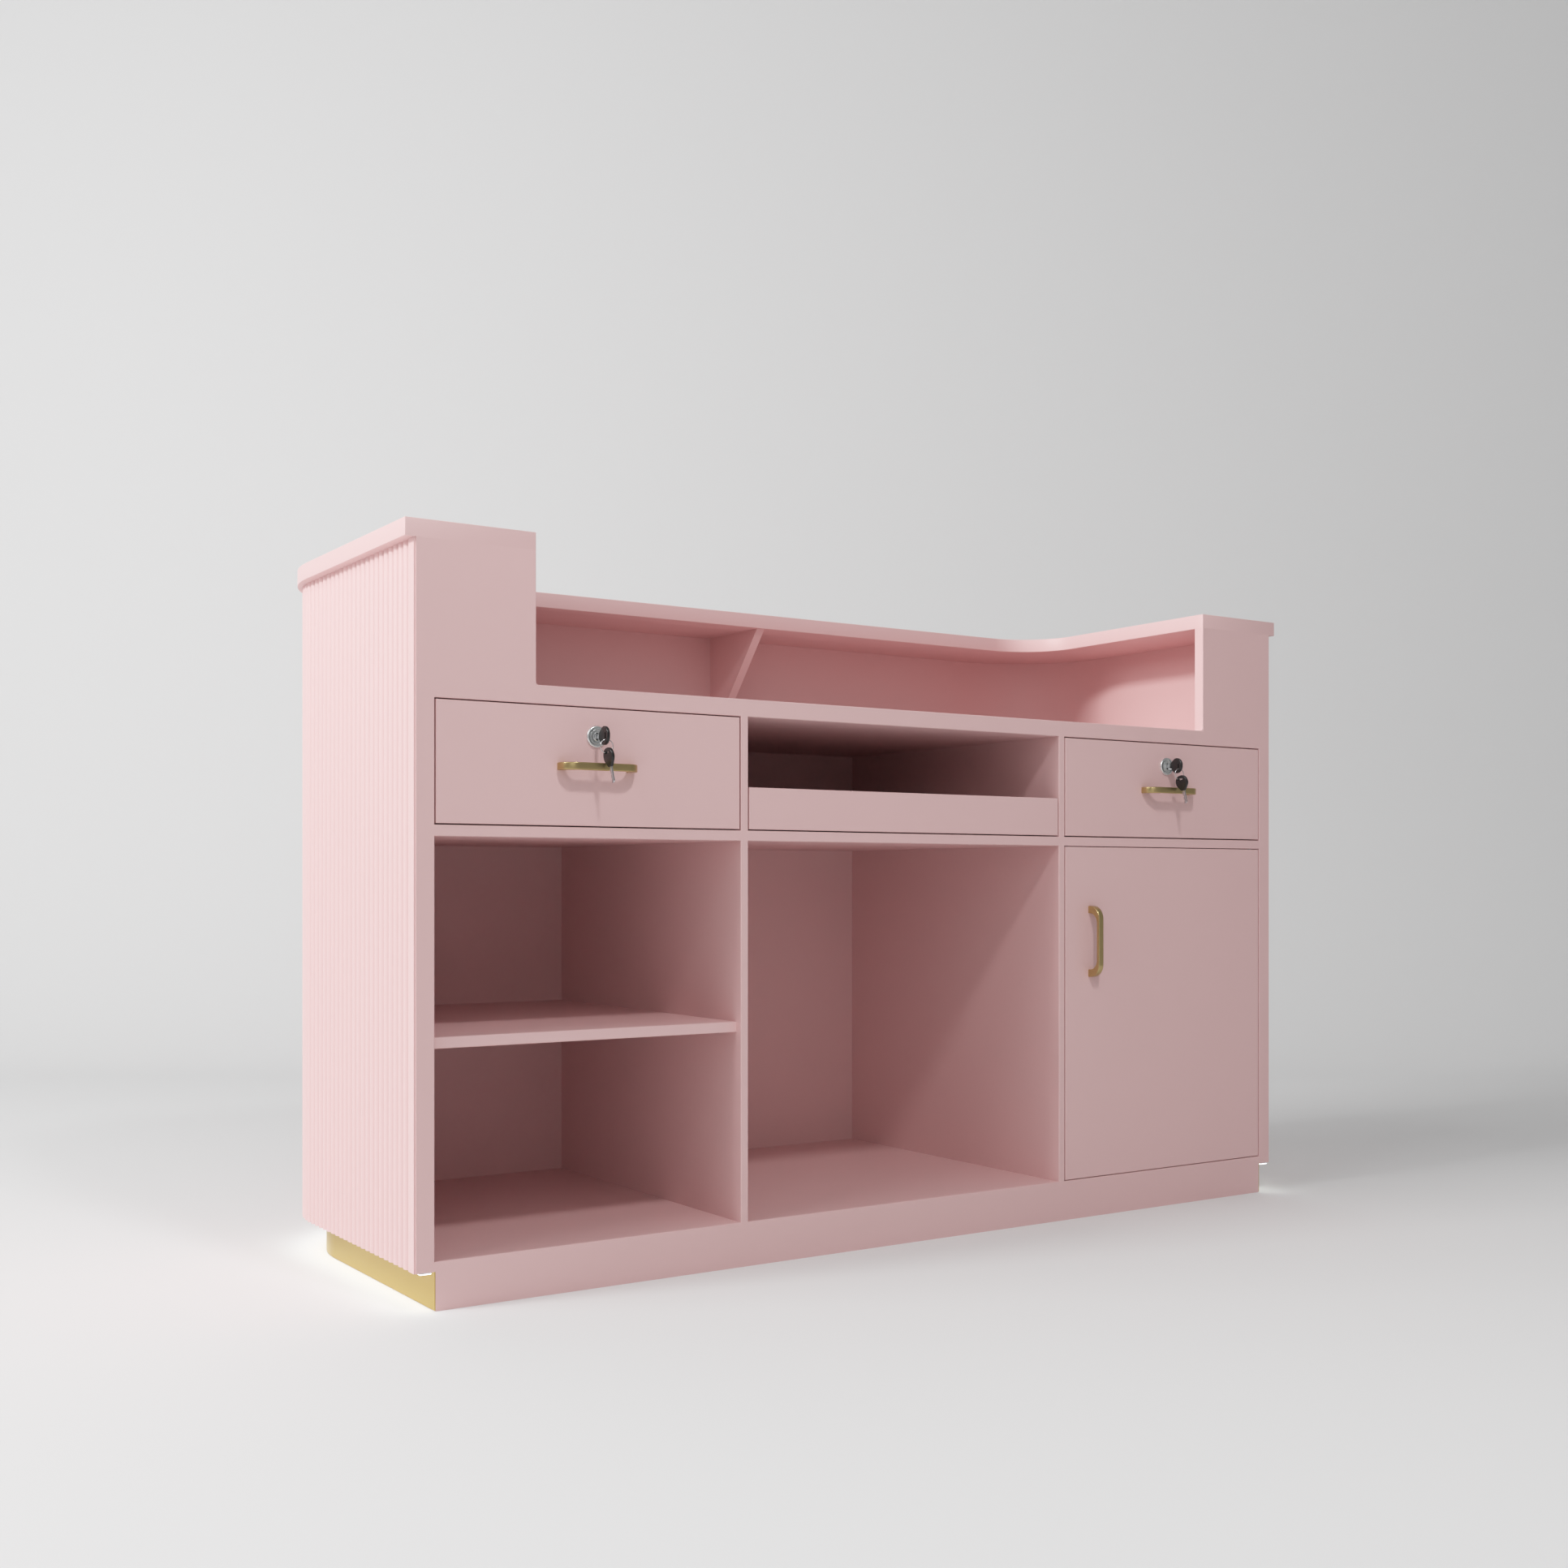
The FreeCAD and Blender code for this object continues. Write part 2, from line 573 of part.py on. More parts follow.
def lock_cam(x):
    """Flat cam on the plug's tail, lying level when the drawer is unlocked."""
    cam = upright([
        (x - CAM_HALF - 2, LOCK_Z - CAM_HALF, CAM_HALF - 0.5), (x + CAM_REACH, LOCK_Z - CAM_HALF, 2),
        (x + CAM_REACH, LOCK_Z + CAM_HALF, 2), (x - CAM_HALF - 2, LOCK_Z + CAM_HALF, CAM_HALF - 0.5),
    ], CAM_Y)
    return cam.cut(rod(PLUG_TAIL_R, (x, BARREL_END, LOCK_Z), (x, PLUG_TAIL_END, LOCK_Z)))


def placement(base, rotation):
    """The matrix that turns a shape about the origin and then moves it."""
    return FreeCAD.Placement(base, rotation).toMatrix()


def key():
    """A flat key: its blade along +X, the middle of its head at the origin, its thickness along Z."""
    length, width = KEY_HEAD
    thick = (-KEY_HEAD_HALF, KEY_HEAD_HALF)
    nose, nose_half = KEY_NOSE
    head = plate([(-length, -width, KEY_ROUND), (KEY_CHEEK, -width, 6), (nose, -nose_half, 1.5),
                  (nose, nose_half, 1.5), (KEY_CHEEK, width, 6), (-length, width, KEY_ROUND)], thick)
    head = head.makeFillet(KEY_HEAD_EASE, [e for e in head.Edges if e.BoundBox.ZLength < 1e-3])
    half_t, half_h = KEY_BLADE[0] / 2, KEY_BLADE[1] / 2
    tip = nose + KEY_BLADE_LENGTH
    blade = plate([(nose - 4, -half_h, 0), (tip, -half_h, 2.4), (tip, half_h, 2.4), (nose - 4, half_h, 0)],
                  (-half_t, half_t))
    hole = Part.makeCylinder(KEY_HOLE_R, 20, Vector(-KEY_HOLE[0], -KEY_HOLE[1], -10))
    return head.fuse(blade).removeSplitter().cut(hole)


def ring_top():
    """Y and Z of the ring's wire where it hangs in the key that is in the lock."""
    return KEY_HEAD_Y - KEY_HOLE[0], LOCK_Z - KEY_HOLE[1] - WIRE_REST


def key_ring(x):
    """Wire ring through both keys."""
    y, z = ring_top()
    ring = Part.makeTorus(RING_R, WIRE_R, Vector(0, 0, 0), Vector(0, 1, 0))
    return ring.transformed(placement(Vector(x, y, z - RING_R), Rotation(Vector(0, 0, 1), -RING_TURN)))


def spare_key(x):
    """The second key, hanging from the ring with its blade down and leaning out past the pull."""
    y, z = ring_top()
    down = Rotation(Vector(0, 0, -1), Vector(0, -1, 0), Vector(-1, 0, 0), "XYZ")
    lean = Rotation(Vector(1, 0, 0), -SPARE_TILT)
    sway = Rotation(Vector(0, 1, 0), -SPARE_SWAY)
    turn = sway.multiply(lean).multiply(down)
    hang = Vector(x, y, z - 2 * RING_R - WIRE_REST)
    hole = turn.multVec(Vector(-KEY_HOLE[0], -KEY_HOLE[1], 0))
    return key().transformed(placement(hang - hole, turn))


def make_strikes():
    """Angle strikes under the worktop that the raised cams catch behind."""
    strikes = []
    for bay in (LEFT_DRAWER, RIGHT_DRAWER):
        x = (bay[0] + bay[1]) / 2
        span = (x - STRIKE_HALF, x + STRIKE_HALF)
        leg = box(span, STRIKE_Y, (STRIKE_Z, WORK_Z[0]))
        foot = box(span, (STRIKE_Y[0], STRIKE_LEG), (WORK_Z[0] - 2, WORK_Z[0]))
        strikes.append(leg.fuse(foot).removeSplitter())
    save("lock_strikes", *strikes)


# ---- door ----
def pivot_rods(radius, depth, into_door):
    """Round bars on the door's axis at its foot and head, reaching into the boards and into the door."""
    y = FRONT_THICK / 2
    low = rod(radius, (DOOR_PIVOT_X, y, FLOOR_TOP - depth), (DOOR_PIVOT_X, y, FLOOR_TOP + into_door))
    high = rod(radius, (DOOR_PIVOT_X, y, MID_Z[0] - into_door), (DOOR_PIVOT_X, y, MID_Z[0] + depth))
    return [low, high]


def make_door():
    """Hinged door of the right bay on two concealed pivots, with its pull and magnetic catch."""
    pins = pivot_rods(PIN_R, PIN_DEPTH - 1, DOOR_GAP_Z + PIN_DEPTH)
    ways = pivot_rods(PIN_R + PIN_CLEARANCE, PIN_DEPTH, 0.0)
    bushes = [bush.cut(way) for bush, way in zip(pivot_rods(BUSH_R, PIN_DEPTH, 0.0), ways)]
    screws = pull_screws(DOOR_PULL, False, FRONT_THICK)
    panel = ease_front(box(DOOR_X, (0, FRONT_THICK), DOOR_Z))
    save("door_panel", panel.cut(pins + screws))
    save("door_pivot_pins", *pins)
    save("door_bushes", *bushes)
    save("door_pull", pull(DOOR_PULL, False).cut(screws))
    save("door_pull_screws", *screws)
    plate_z = (CATCH_Z, DOOR_Z[1] - 1)
    save("door_catch_plate", box(CATCH_X, (FRONT_THICK, FRONT_THICK + CATCH_PLATE), plate_z))
    body = box(CATCH_X, CATCH_Y, (CATCH_Z, MID_Z[0]))
    save("door_catch", body.makeFillet(1.5, [e for e in body.Edges if e.BoundBox.ZLength > 10]))


def spare_reach():
    """How far the hanging key stands out from the staff-side face."""
    return -spare_key(0).optimalBoundingBox().YMin


os.makedirs("parts", exist_ok=True)
FRONT_Y = -(TOP_BACK - spare_reach()) / 2
pegs = shelf_pegs(PEG_R)
make_plinth()
make_grommet()
make_lighting()
make_walls(pegs)
make_boards(pegs)
save("shelf_pegs", *pegs)
make_top()
make_bracket()
left_runners = make_drawer("left", LEFT_DRAWER)
right_runners = make_drawer("right", RIGHT_DRAWER)
tray_runners = make_tray()
make_runner_mounts(left_runners + right_runners + tray_runners)
make_strikes()
make_door()
total = Part.makeCompound([shape for _, shape in placed]).optimalBoundingBox()
print(len(placed), "nodes,", sum(len(shape.Solids) for _, shape in placed), "solids")
print("front plane at y =", round(FRONT_Y, 4))
print("box", [round(v, 3) for v in (total.XMin, total.YMin, total.ZMin, total.XMax, total.YMax, total.ZMax)])
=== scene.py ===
"""Looks of a reception and checkout counter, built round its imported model.

The model's nodes stand in metres with X along the counter, +Y from the staff side to the customers
and Z up.  Each class below finishes one sub-assembly: it keeps the nodes whose plain shape is right,
gives them their finish, and makes new pieces where the real thing has curves, ribs or turned work.
"""

import json
import logging
import math
from dataclasses import dataclass, field
from enum import Enum
from typing import Callable, Iterable, Sequence

import bmesh
import bpy
from mathutils import Matrix, Vector


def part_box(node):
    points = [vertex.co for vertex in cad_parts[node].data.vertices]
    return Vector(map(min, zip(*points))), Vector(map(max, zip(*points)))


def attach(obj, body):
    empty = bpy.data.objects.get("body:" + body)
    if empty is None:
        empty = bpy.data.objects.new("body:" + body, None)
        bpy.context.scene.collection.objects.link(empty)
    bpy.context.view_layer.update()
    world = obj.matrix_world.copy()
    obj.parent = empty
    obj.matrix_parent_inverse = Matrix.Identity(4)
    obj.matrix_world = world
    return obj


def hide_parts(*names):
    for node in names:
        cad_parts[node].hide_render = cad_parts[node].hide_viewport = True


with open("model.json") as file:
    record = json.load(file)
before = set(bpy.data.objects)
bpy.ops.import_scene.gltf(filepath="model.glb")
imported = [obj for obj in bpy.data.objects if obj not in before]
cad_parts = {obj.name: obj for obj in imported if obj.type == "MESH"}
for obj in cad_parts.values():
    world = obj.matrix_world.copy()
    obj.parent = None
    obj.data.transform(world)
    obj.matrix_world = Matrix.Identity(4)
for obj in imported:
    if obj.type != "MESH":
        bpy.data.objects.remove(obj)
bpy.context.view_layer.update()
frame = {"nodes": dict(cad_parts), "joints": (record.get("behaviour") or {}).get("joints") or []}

LOG = logging.getLogger("counter")
FLAT = 1e-6
SMOOTH_ANGLE = math.radians(32)
ARC_STEP = math.radians(3.0)

Color = tuple[float, float, float]
Corner = tuple[float, float, float]
Points = list[Vector]


class Body(str, Enum):
    """The moving bodies that pieces ride on."""

    COUNTER = "counter"
    DOOR = "door"
    TRAY = "tray"


class Side(str, Enum):
    """The two ends of the counter, as the staff see them."""

    LEFT = "left"
    RIGHT = "right"


# ---- shared effects for the finishes ----
class Effects:
    """Node groups that several materials share: drifting tone, fine grain and drawn brush marks."""

    @staticmethod
    def _start(name: str, inputs: Sequence[tuple[str, str, object]],
               outputs: Sequence[tuple[str, str]]) -> tuple[bpy.types.NodeTree, object, object]:
        """Make an empty shader group.

        Args:
            name: The group's name.
            inputs: Name, socket type and default value of each input.
            outputs: Name and socket type of each output.

        Returns:
            The group, its input node and its output node.
        """
        group = bpy.data.node_groups.new(name, "ShaderNodeTree")
        for label, kind, value in inputs:
            socket = group.interface.new_socket(label, in_out="INPUT", socket_type=kind)
            if value is not None:
                socket.default_value = value
        for label, kind in outputs:
            group.interface.new_socket(label, in_out="OUTPUT", socket_type=kind)
        return group, group.nodes.new("NodeGroupInput"), group.nodes.new("NodeGroupOutput")

    @staticmethod
    def _put_out(group: bpy.types.NodeTree, given: bpy.types.Node, result: bpy.types.Node,
                 tone: bpy.types.NodeSocket, shift: bpy.types.NodeSocket, relief: bpy.types.Node) -> None:
        """Link a group's outputs: the colour scaled by a tone, the roughness moved by a shift, and a relief.

        Args:
            group: The group.
            given: Its input node.
            result: Its output node.
            tone: What the colour is scaled by.
            shift: What moves the roughness, about zero.
            relief: The noise that gives the height.
        """
        links = group.links
        tint = group.nodes.new("ShaderNodeVectorMath")
        tint.operation = "SCALE"
        links.new(given.outputs["Color"], tint.inputs[0])
        links.new(tone, tint.inputs["Scale"])
        links.new(tint.outputs["Vector"], result.inputs["Color"])
        rough = math_node(group, "MULTIPLY_ADD", shift, given.outputs["Spread"], given.outputs["Roughness"])
        links.new(rough, result.inputs["Roughness"])
        links.new(relief.outputs["Fac"], result.inputs["Height"])

    @classmethod
    def lacquer(cls) -> bpy.types.NodeTree:
        """Build the sprayed film: slow drift of tone, fine flow marks and a roughness that follows them.

        Returns:
            The node group.
        """
        group, given, result = cls._start(
            "sprayed_film",
            [("Vector", "NodeSocketVector", None), ("Color", "NodeSocketColor", None),
             ("Drift", "NodeSocketFloat", 0.03), ("Roughness", "NodeSocketFloat", 0.5),
             ("Spread", "NodeSocketFloat", 0.05), ("Flow Scale", "NodeSocketFloat", 260.0)],
            [("Color", "NodeSocketColor"), ("Roughness", "NodeSocketFloat"), ("Height", "NodeSocketFloat")])
        links = group.links
        slow = noise(group, 2.6, 3.0, 0.55)
        flow = noise(group, 260.0, 2.0, 0.5)
        links.new(given.outputs["Vector"], slow.inputs["Vector"])
        links.new(given.outputs["Vector"], flow.inputs["Vector"])
        links.new(given.outputs["Flow Scale"], flow.inputs["Scale"])
        centred = math_node(group, "SUBTRACT", slow.outputs["Fac"], 0.5)
        drift = math_node(group, "MULTIPLY_ADD", centred, given.outputs["Drift"], 1.0)
        cls._put_out(group, given, result, drift, centred, flow)
        return group

    @classmethod
    def brushed(cls) -> bpy.types.NodeTree:
        """Build drawn or brushed metal: long scratches, with a tone and roughness that follow them.

        Returns:
            The node group.
        """
        group, given, result = cls._start(
            "brush_marks",
            [("Vector", "NodeSocketVector", None), ("Color", "NodeSocketColor", None),
             ("Contrast", "NodeSocketFloat", 0.1), ("Roughness", "NodeSocketFloat", 0.3),
             ("Spread", "NodeSocketFloat", 0.1), ("Tarnish", "NodeSocketFloat", 0.1)],
            [("Color", "NodeSocketColor"), ("Roughness", "NodeSocketFloat"), ("Height", "NodeSocketFloat")])
        links = group.links
        marks = noise(group, 1.0, 3.0, 0.6)
        clouds = noise(group, 0.05, 3.0, 0.6)
        for made in (marks, clouds):
            links.new(given.outputs["Vector"], made.inputs["Vector"])
        lines = math_node(group, "SUBTRACT", marks.outputs["Fac"], 0.5)
        stain = math_node(group, "SUBTRACT", clouds.outputs["Fac"], 0.5)
        tone = math_node(group, "MULTIPLY_ADD", lines, given.outputs["Contrast"], 1.0)
        worn = math_node(group, "MULTIPLY_ADD", stain, given.outputs["Tarnish"], tone)
        cls._put_out(group, given, result, worn, lines, marks)
        return group


def noise(tree: bpy.types.NodeTree, scale: float, detail: float, roughness: float) -> bpy.types.Node:
    """Add a noise texture to a tree."""
    node = tree.nodes.new("ShaderNodeTexNoise")
    node.inputs["Scale"].default_value = scale
    node.inputs["Detail"].default_value = detail
    node.inputs["Roughness"].default_value = roughness
    return node


def math_node(tree: bpy.types.NodeTree, operation: str, *values: object) -> bpy.types.NodeSocket:
    """Add a math node.

    Args:
        tree: The node tree.
        operation: The node's operation.
        values: For each input, a socket to link or a number to set.

    Returns:
        The node's output socket.
    """
    node = tree.nodes.new("ShaderNodeMath")
    node.operation = operation
    for i, value in enumerate(values):
        if isinstance(value, bpy.types.NodeSocket):
            tree.links.new(value, node.inputs[i])
        else:
            node.inputs[i].default_value = value
    return node.outputs[0]


# ---- finishes ----
@dataclass(frozen=True)
class Finish:
    """A surface finish: its colour, gloss and marks.

    The marks stretch along one axis by making the pattern's scale small along it.
    """

    name: str
    slot: str
    color: Color
    roughness: float
    metallic: float = 0.0
    effect: str = "lacquer"
    variation: float = 0.03
    spread: float = 0.05
    tarnish: float = 0.0
    pattern: Color = (1.0, 1.0, 1.0)
    bump: float = 0.02
    bump_depth: float = 0.0002
    coat: float = 0.0
    specular: float = 0.5
    glow: float = 0.0
    glow_color: Color = (1.0, 1.0, 1.0)

    def material(self) -> bpy.types.Material:
        """Build the finish's material once, and return it."""
        known = bpy.data.materials.get(self.name)
        if known is not None:
            return known
        made = bpy.data.materials.new(self.name)
        made.use_nodes = True
        tree = made.node_tree
        shader = tree.nodes["Principled BSDF"]
        where = tree.nodes.new("ShaderNodeTexCoord")
        mapping = tree.nodes.new("ShaderNodeMapping")
        mapping.inputs["Scale"].default_value = self.pattern
        tree.links.new(where.outputs["Object"], mapping.inputs["Vector"])
        marks = tree.nodes.new("ShaderNodeGroup")
        marks.node_tree = effect_group(self.effect)
        tree.links.new(mapping.outputs["Vector"], marks.inputs["Vector"])
        marks.inputs["Color"].default_value = (*self.color, 1.0)
        marks.inputs["Roughness"].default_value = self.roughness
        marks.inputs["Spread"].default_value = self.spread
        if self.effect == "lacquer":
            marks.inputs["Drift"].default_value = self.variation
        else:
            marks.inputs["Contrast"].default_value = self.variation
            marks.inputs["Tarnish"].default_value = self.tarnish
        bump = tree.nodes.new("ShaderNodeBump")
        bump.inputs["Strength"].default_value = self.bump
        bump.inputs["Distance"].default_value = self.bump_depth
        tree.links.new(marks.outputs["Color"], shader.inputs["Base Color"])
        tree.links.new(marks.outputs["Roughness"], shader.inputs["Roughness"])
        tree.links.new(marks.outputs["Height"], bump.inputs["Height"])
        tree.links.new(bump.outputs["Normal"], shader.inputs["Normal"])
        shader.inputs["Metallic"].default_value = self.metallic
        shader.inputs["Coat Weight"].default_value = self.coat
        shader.inputs["Specular IOR Level"].default_value = self.specular
        if self.glow > 0:
            shader.inputs["Emission Color"].default_value = (*self.glow_color, 1.0)
            shader.inputs["Emission Strength"].default_value = self.glow
        return made


def effect_group(kind: str) -> bpy.types.NodeTree:
    """The shared node group of one kind of marks, built once."""
    name = {"lacquer": "sprayed_film", "brushed": "brush_marks"}[kind]
    known = bpy.data.node_groups.get(name)
    return known if known is not None else getattr(Effects, kind)()


LACQUER = Finish("rose_lacquer", "pink_lacquer", (0.79, 0.52, 0.515), 0.46, spread=0.04, variation=0.03,
                 bump=0.03, bump_depth=0.0001)
BOX_LACQUER = Finish("rose_lacquer_inside", "pink_lacquer", (0.74, 0.50, 0.495), 0.55, spread=0.06,
                     variation=0.05, bump=0.03, bump_depth=0.0001)
PLYWOOD = Finish("sanded_plywood", "plywood", (0.47, 0.30, 0.15), 0.62, effect="brushed", variation=0.22,
                 spread=0.15, tarnish=0.2, pattern=(6.0, 90.0, 400.0), bump=0.08, bump_depth=0.0004)
SKIRT_BRASS = Finish("satin_brass", "skirting_brass", (0.53, 0.37, 0.125), 0.34, metallic=1.0,
                     effect="brushed", variation=0.06, spread=0.08, tarnish=0.04,
                     pattern=(10.0, 10.0, 900.0), bump=0.05, bump_depth=0.0001)
ANTIQUE_BRASS = Finish("antique_brass", "antique_brass", (0.44, 0.30, 0.10), 0.12, metallic=1.0,
                       effect="brushed", variation=0.06, spread=0.06, tarnish=0.10,
                       pattern=(60.0, 300.0, 300.0), bump=0.01, bump_depth=0.00005)
ZINC = Finish("zinc_plate", "runner_steel", (0.60, 0.61, 0.63), 0.36, metallic=1.0, effect="brushed",
              variation=0.10, spread=0.12, tarnish=0.12, pattern=(300.0, 12.0, 300.0), bump=0.04,
              bump_depth=0.0001)
CHROME = Finish("satin_chrome", "lock_chrome", (0.76, 0.77, 0.77), 0.30, metallic=1.0, effect="brushed",
                variation=0.04, spread=0.05, tarnish=0.04, pattern=(150.0, 150.0, 150.0), bump=0.004,
                bump_depth=0.00002)
STEEL = Finish("plated_steel", "plain_steel", (0.62, 0.62, 0.63), 0.22, metallic=1.0, effect="brushed",
               variation=0.06, spread=0.06, tarnish=0.05, pattern=(300.0, 300.0, 80.0), bump=0.005,
               bump_depth=0.00002)
KEY_BLACK = Finish("moulded_black", "key_plastic", (0.011, 0.0105, 0.0105), 0.28, spread=0.08, variation=0.2,
                   bump=0.12, bump_depth=0.00005)
ALUMINIUM = Finish("anodised_channel", "channel_aluminium", (0.78, 0.79, 0.80), 0.38, metallic=1.0,
                   effect="brushed", variation=0.05, spread=0.06, tarnish=0.03,
                   pattern=(15.0, 15.0, 900.0), bump=0.03, bump_depth=0.0001)
LENS = Finish("opal_lens", "led_lens", (0.90, 0.91, 0.93), 0.35, variation=0.01, spread=0.02, glow=4.2,
              glow_color=(0.92, 0.98, 1.0))
WHITE_PLASTIC = Finish("moulded_white", "driver_plastic", (0.72, 0.72, 0.73), 0.48, spread=0.06,
                       variation=0.02, bump=0.06, bump_depth=0.0001)
RUBBER = Finish("grommet_rubber", "grommet_rubber", (0.025, 0.025, 0.025), 0.62, spread=0.08, variation=0.1,
                bump=0.1, bump_depth=0.0001)


# ---- mesh making ----
def rounded_outline(corners: Sequence[Corner], step: float = ARC_STEP) -> Points:
    """Work out a closed outline whose corners are rounded by arcs.

    Args:
        corners: (x, y, radius) of each corner, in metres.
        step: The largest turn between two points of an arc, in radians.

    Returns:
        The points, in order.
    """
    line: Points = []
    count = len(corners)
    for i, (x, y, radius) in enumerate(corners):
        here = Vector((x, y))
        if radius == 0:
            line.append(here)
            continue
        before = (Vector(corners[i - 1][:2]) - here).normalized()
        after = (Vector(corners[(i + 1) % count][:2]) - here).normalized()
        half = before.angle(after) / 2
        middle = here + (before + after).normalized() * (radius / math.sin(half))
        start = here + before * (radius / math.tan(half)) - middle
        turn = math.pi - 2 * half
        if before.x * after.y - before.y * after.x > 0:
            turn = -turn
        pieces = max(2, math.ceil(abs(turn) / step))
        for k in range(pieces + 1):
            angle = turn * k / pieces
            cos, sin = math.cos(angle), math.sin(angle)
            line.append(middle + Vector((start.x * cos - start.y * sin, start.x * sin + start.y * cos)))
    return line


def rectangle(low: tuple[float, float], high: tuple[float, float]) -> Points:
    """Corners of a rectangle, turning left from its lowest."""
    return [Vector((low[0], low[1])), Vector((high[0], low[1])), Vector((high[0], high[1])),
            Vector((low[0], high[1]))]


def prism(outline: Points, low: float, high: float) -> bmesh.types.BMesh:
    """Extrude a closed outline in the XY plane between two heights."""
    mesh = bmesh.new()
    floor = [mesh.verts.new((p.x, p.y, low)) for p in outline]
    roof = [mesh.verts.new((p.x, p.y, high)) for p in outline]
    mesh.faces.new(reversed(floor))
    mesh.faces.new(roof)
    count = len(outline)
    for i in range(count):
        j = (i + 1) % count
        mesh.faces.new((floor[i], floor[j], roof[j], roof[i]))
    bmesh.ops.recalc_face_normals(mesh, faces=mesh.faces)
    return mesh


def turned(profile: Sequence[tuple[float, float]], steps: int = 64) -> bmesh.types.BMesh:
    """Turn a profile about the Z axis.

    Args:
        profile: (radius, height) of each point, in metres. A radius of 0 is a pole.
        steps: How many flats go round.

    Returns:
        The turned mesh, closed if the profile starts and ends on the axis or at one point.
    """
    mesh = bmesh.new()
    rings = []
    for radius, height in profile:
        if radius == 0:
            rings.append([mesh.verts.new((0, 0, height))] * steps)
            continue
        ring = []
        for k in range(steps):
            angle = math.tau * k / steps
            ring.append(mesh.verts.new((radius * math.cos(angle), radius * math.sin(angle), height)))
        rings.append(ring)
    for lower, upper in zip(rings, rings[1:]):
        for k in range(steps):
            n = (k + 1) % steps
            quad = [lower[k], lower[n], upper[n], upper[k]]
            corners = list(dict.fromkeys(quad))
            mesh.faces.new(corners)
    bmesh.ops.remove_doubles(mesh, verts=mesh.verts, dist=1e-7)
    bmesh.ops.recalc_face_normals(mesh, faces=mesh.faces)
    return mesh


def u_path(half: float, front: float, back: float, radius: float, step: float = ARC_STEP) -> Points:
    """The plan line of a wall that runs back from the staff side, across, and forward again."""
    loop = rounded_outline([(-half, front, 0), (-half, back, radius), (half, back, radius), (half, front, 0)],
                           step)
    return loop


def u_wall(outer: tuple[float, float, float], thickness: float, front: float, low: float,
           high: float, step: float = ARC_STEP) -> bmesh.types.BMesh:
    """Make a curved wall of one thickness, open at the staff side.

    Args:
        outer: Half width, back and corner radius of its outer face.
        thickness: Its thickness.
        front: Where its two ends stand along Y.
        low: Its lower edge.
        high: Its upper edge.
        step: The largest turn between two points of an arc.

    Returns:
        The wall as quads.
    """
    half, back, radius = outer
    outside = u_path(half, front, back, radius, step)
    inside = u_path(half - thickness, front, back - thickness, radius - thickness, step)
    mesh = bmesh.new()
    rows = []
    for line, z in ((outside, low), (outside, high), (inside, high), (inside, low)):
        rows.append([mesh.verts.new((p.x, p.y, z)) for p in line])
    for a, b in zip(rows, rows[1:] + rows[:1]):
        for i in range(len(a) - 1):
            mesh.faces.new((a[i], a[i + 1], b[i + 1], b[i]))
    mesh.faces.new([row[0] for row in rows])
    mesh.faces.new([row[-1] for row in reversed(rows)])
    bmesh.ops.recalc_face_normals(mesh, faces=mesh.faces)
    return mesh


def round_edges(mesh: bmesh.types.BMesh, radius: float, chosen: Callable[[Vector, Vector], bool],
                segments: int = 3, sharper_than: float = 25.0) -> None:
    """Round the edges of a mesh.

    Args:
        mesh: The mesh.
        radius: How far the rounding reaches from each edge.
        chosen: Says from an edge's two ends whether it is rounded.
        segments: Facets of the rounding.
        sharper_than: The least angle between an edge's faces, in degrees.
    """
    limit = math.radians(sharper_than)
    edges = [e for e in mesh.edges if len(e.link_faces) == 2 and e.calc_face_angle(0) > limit
             and chosen(e.verts[0].co, e.verts[1].co)]
    bmesh.ops.bevel(mesh, geom=edges, offset=radius, offset_type="OFFSET", segments=segments, profile=0.5,
                    affect="EDGES", clamp_overlap=True)


def shaped(name: str, mesh: bmesh.types.BMesh, turn: Matrix | None = None) -> bpy.types.Object:
    """Make an object of a mesh, placed through its points.

    Args:
        name: The piece's name.
        mesh: The mesh, which is used up.
        turn: Where the mesh goes.

    Returns:
        The object, at the origin.
    """
    if turn is not None:
        bmesh.ops.transform(mesh, matrix=turn, verts=mesh.verts)
    data = bpy.data.meshes.new(name)
    mesh.to_mesh(data)
    mesh.free()
    piece = bpy.data.objects.new(name, data)
    bpy.context.scene.collection.objects.link(piece)
    return piece


def carve(piece: bpy.types.Object, *cutters: bmesh.types.BMesh) -> None:
    """Cut shapes out of a piece with exact booleans, and keep the result as its plain mesh."""
    tools = [shaped(piece.name + "_cutter", cutter) for cutter in cutters]
    for tool in tools:
        cut = piece.modifiers.new("cut", "BOOLEAN")
        cut.operation = "DIFFERENCE"
        cut.solver = "EXACT"
        cut.object = tool
    settle(piece)
    for tool in tools:
        bpy.data.objects.remove(tool)


def settle(piece: bpy.types.Object) -> None:
    """Turn a piece's modifiers into its plain mesh, and remove them."""
    graph = bpy.context.evaluated_depsgraph_get()
    made = bpy.data.meshes.new_from_object(piece.evaluated_get(graph), depsgraph=graph)
    piece.modifiers.clear()
    piece.data = made


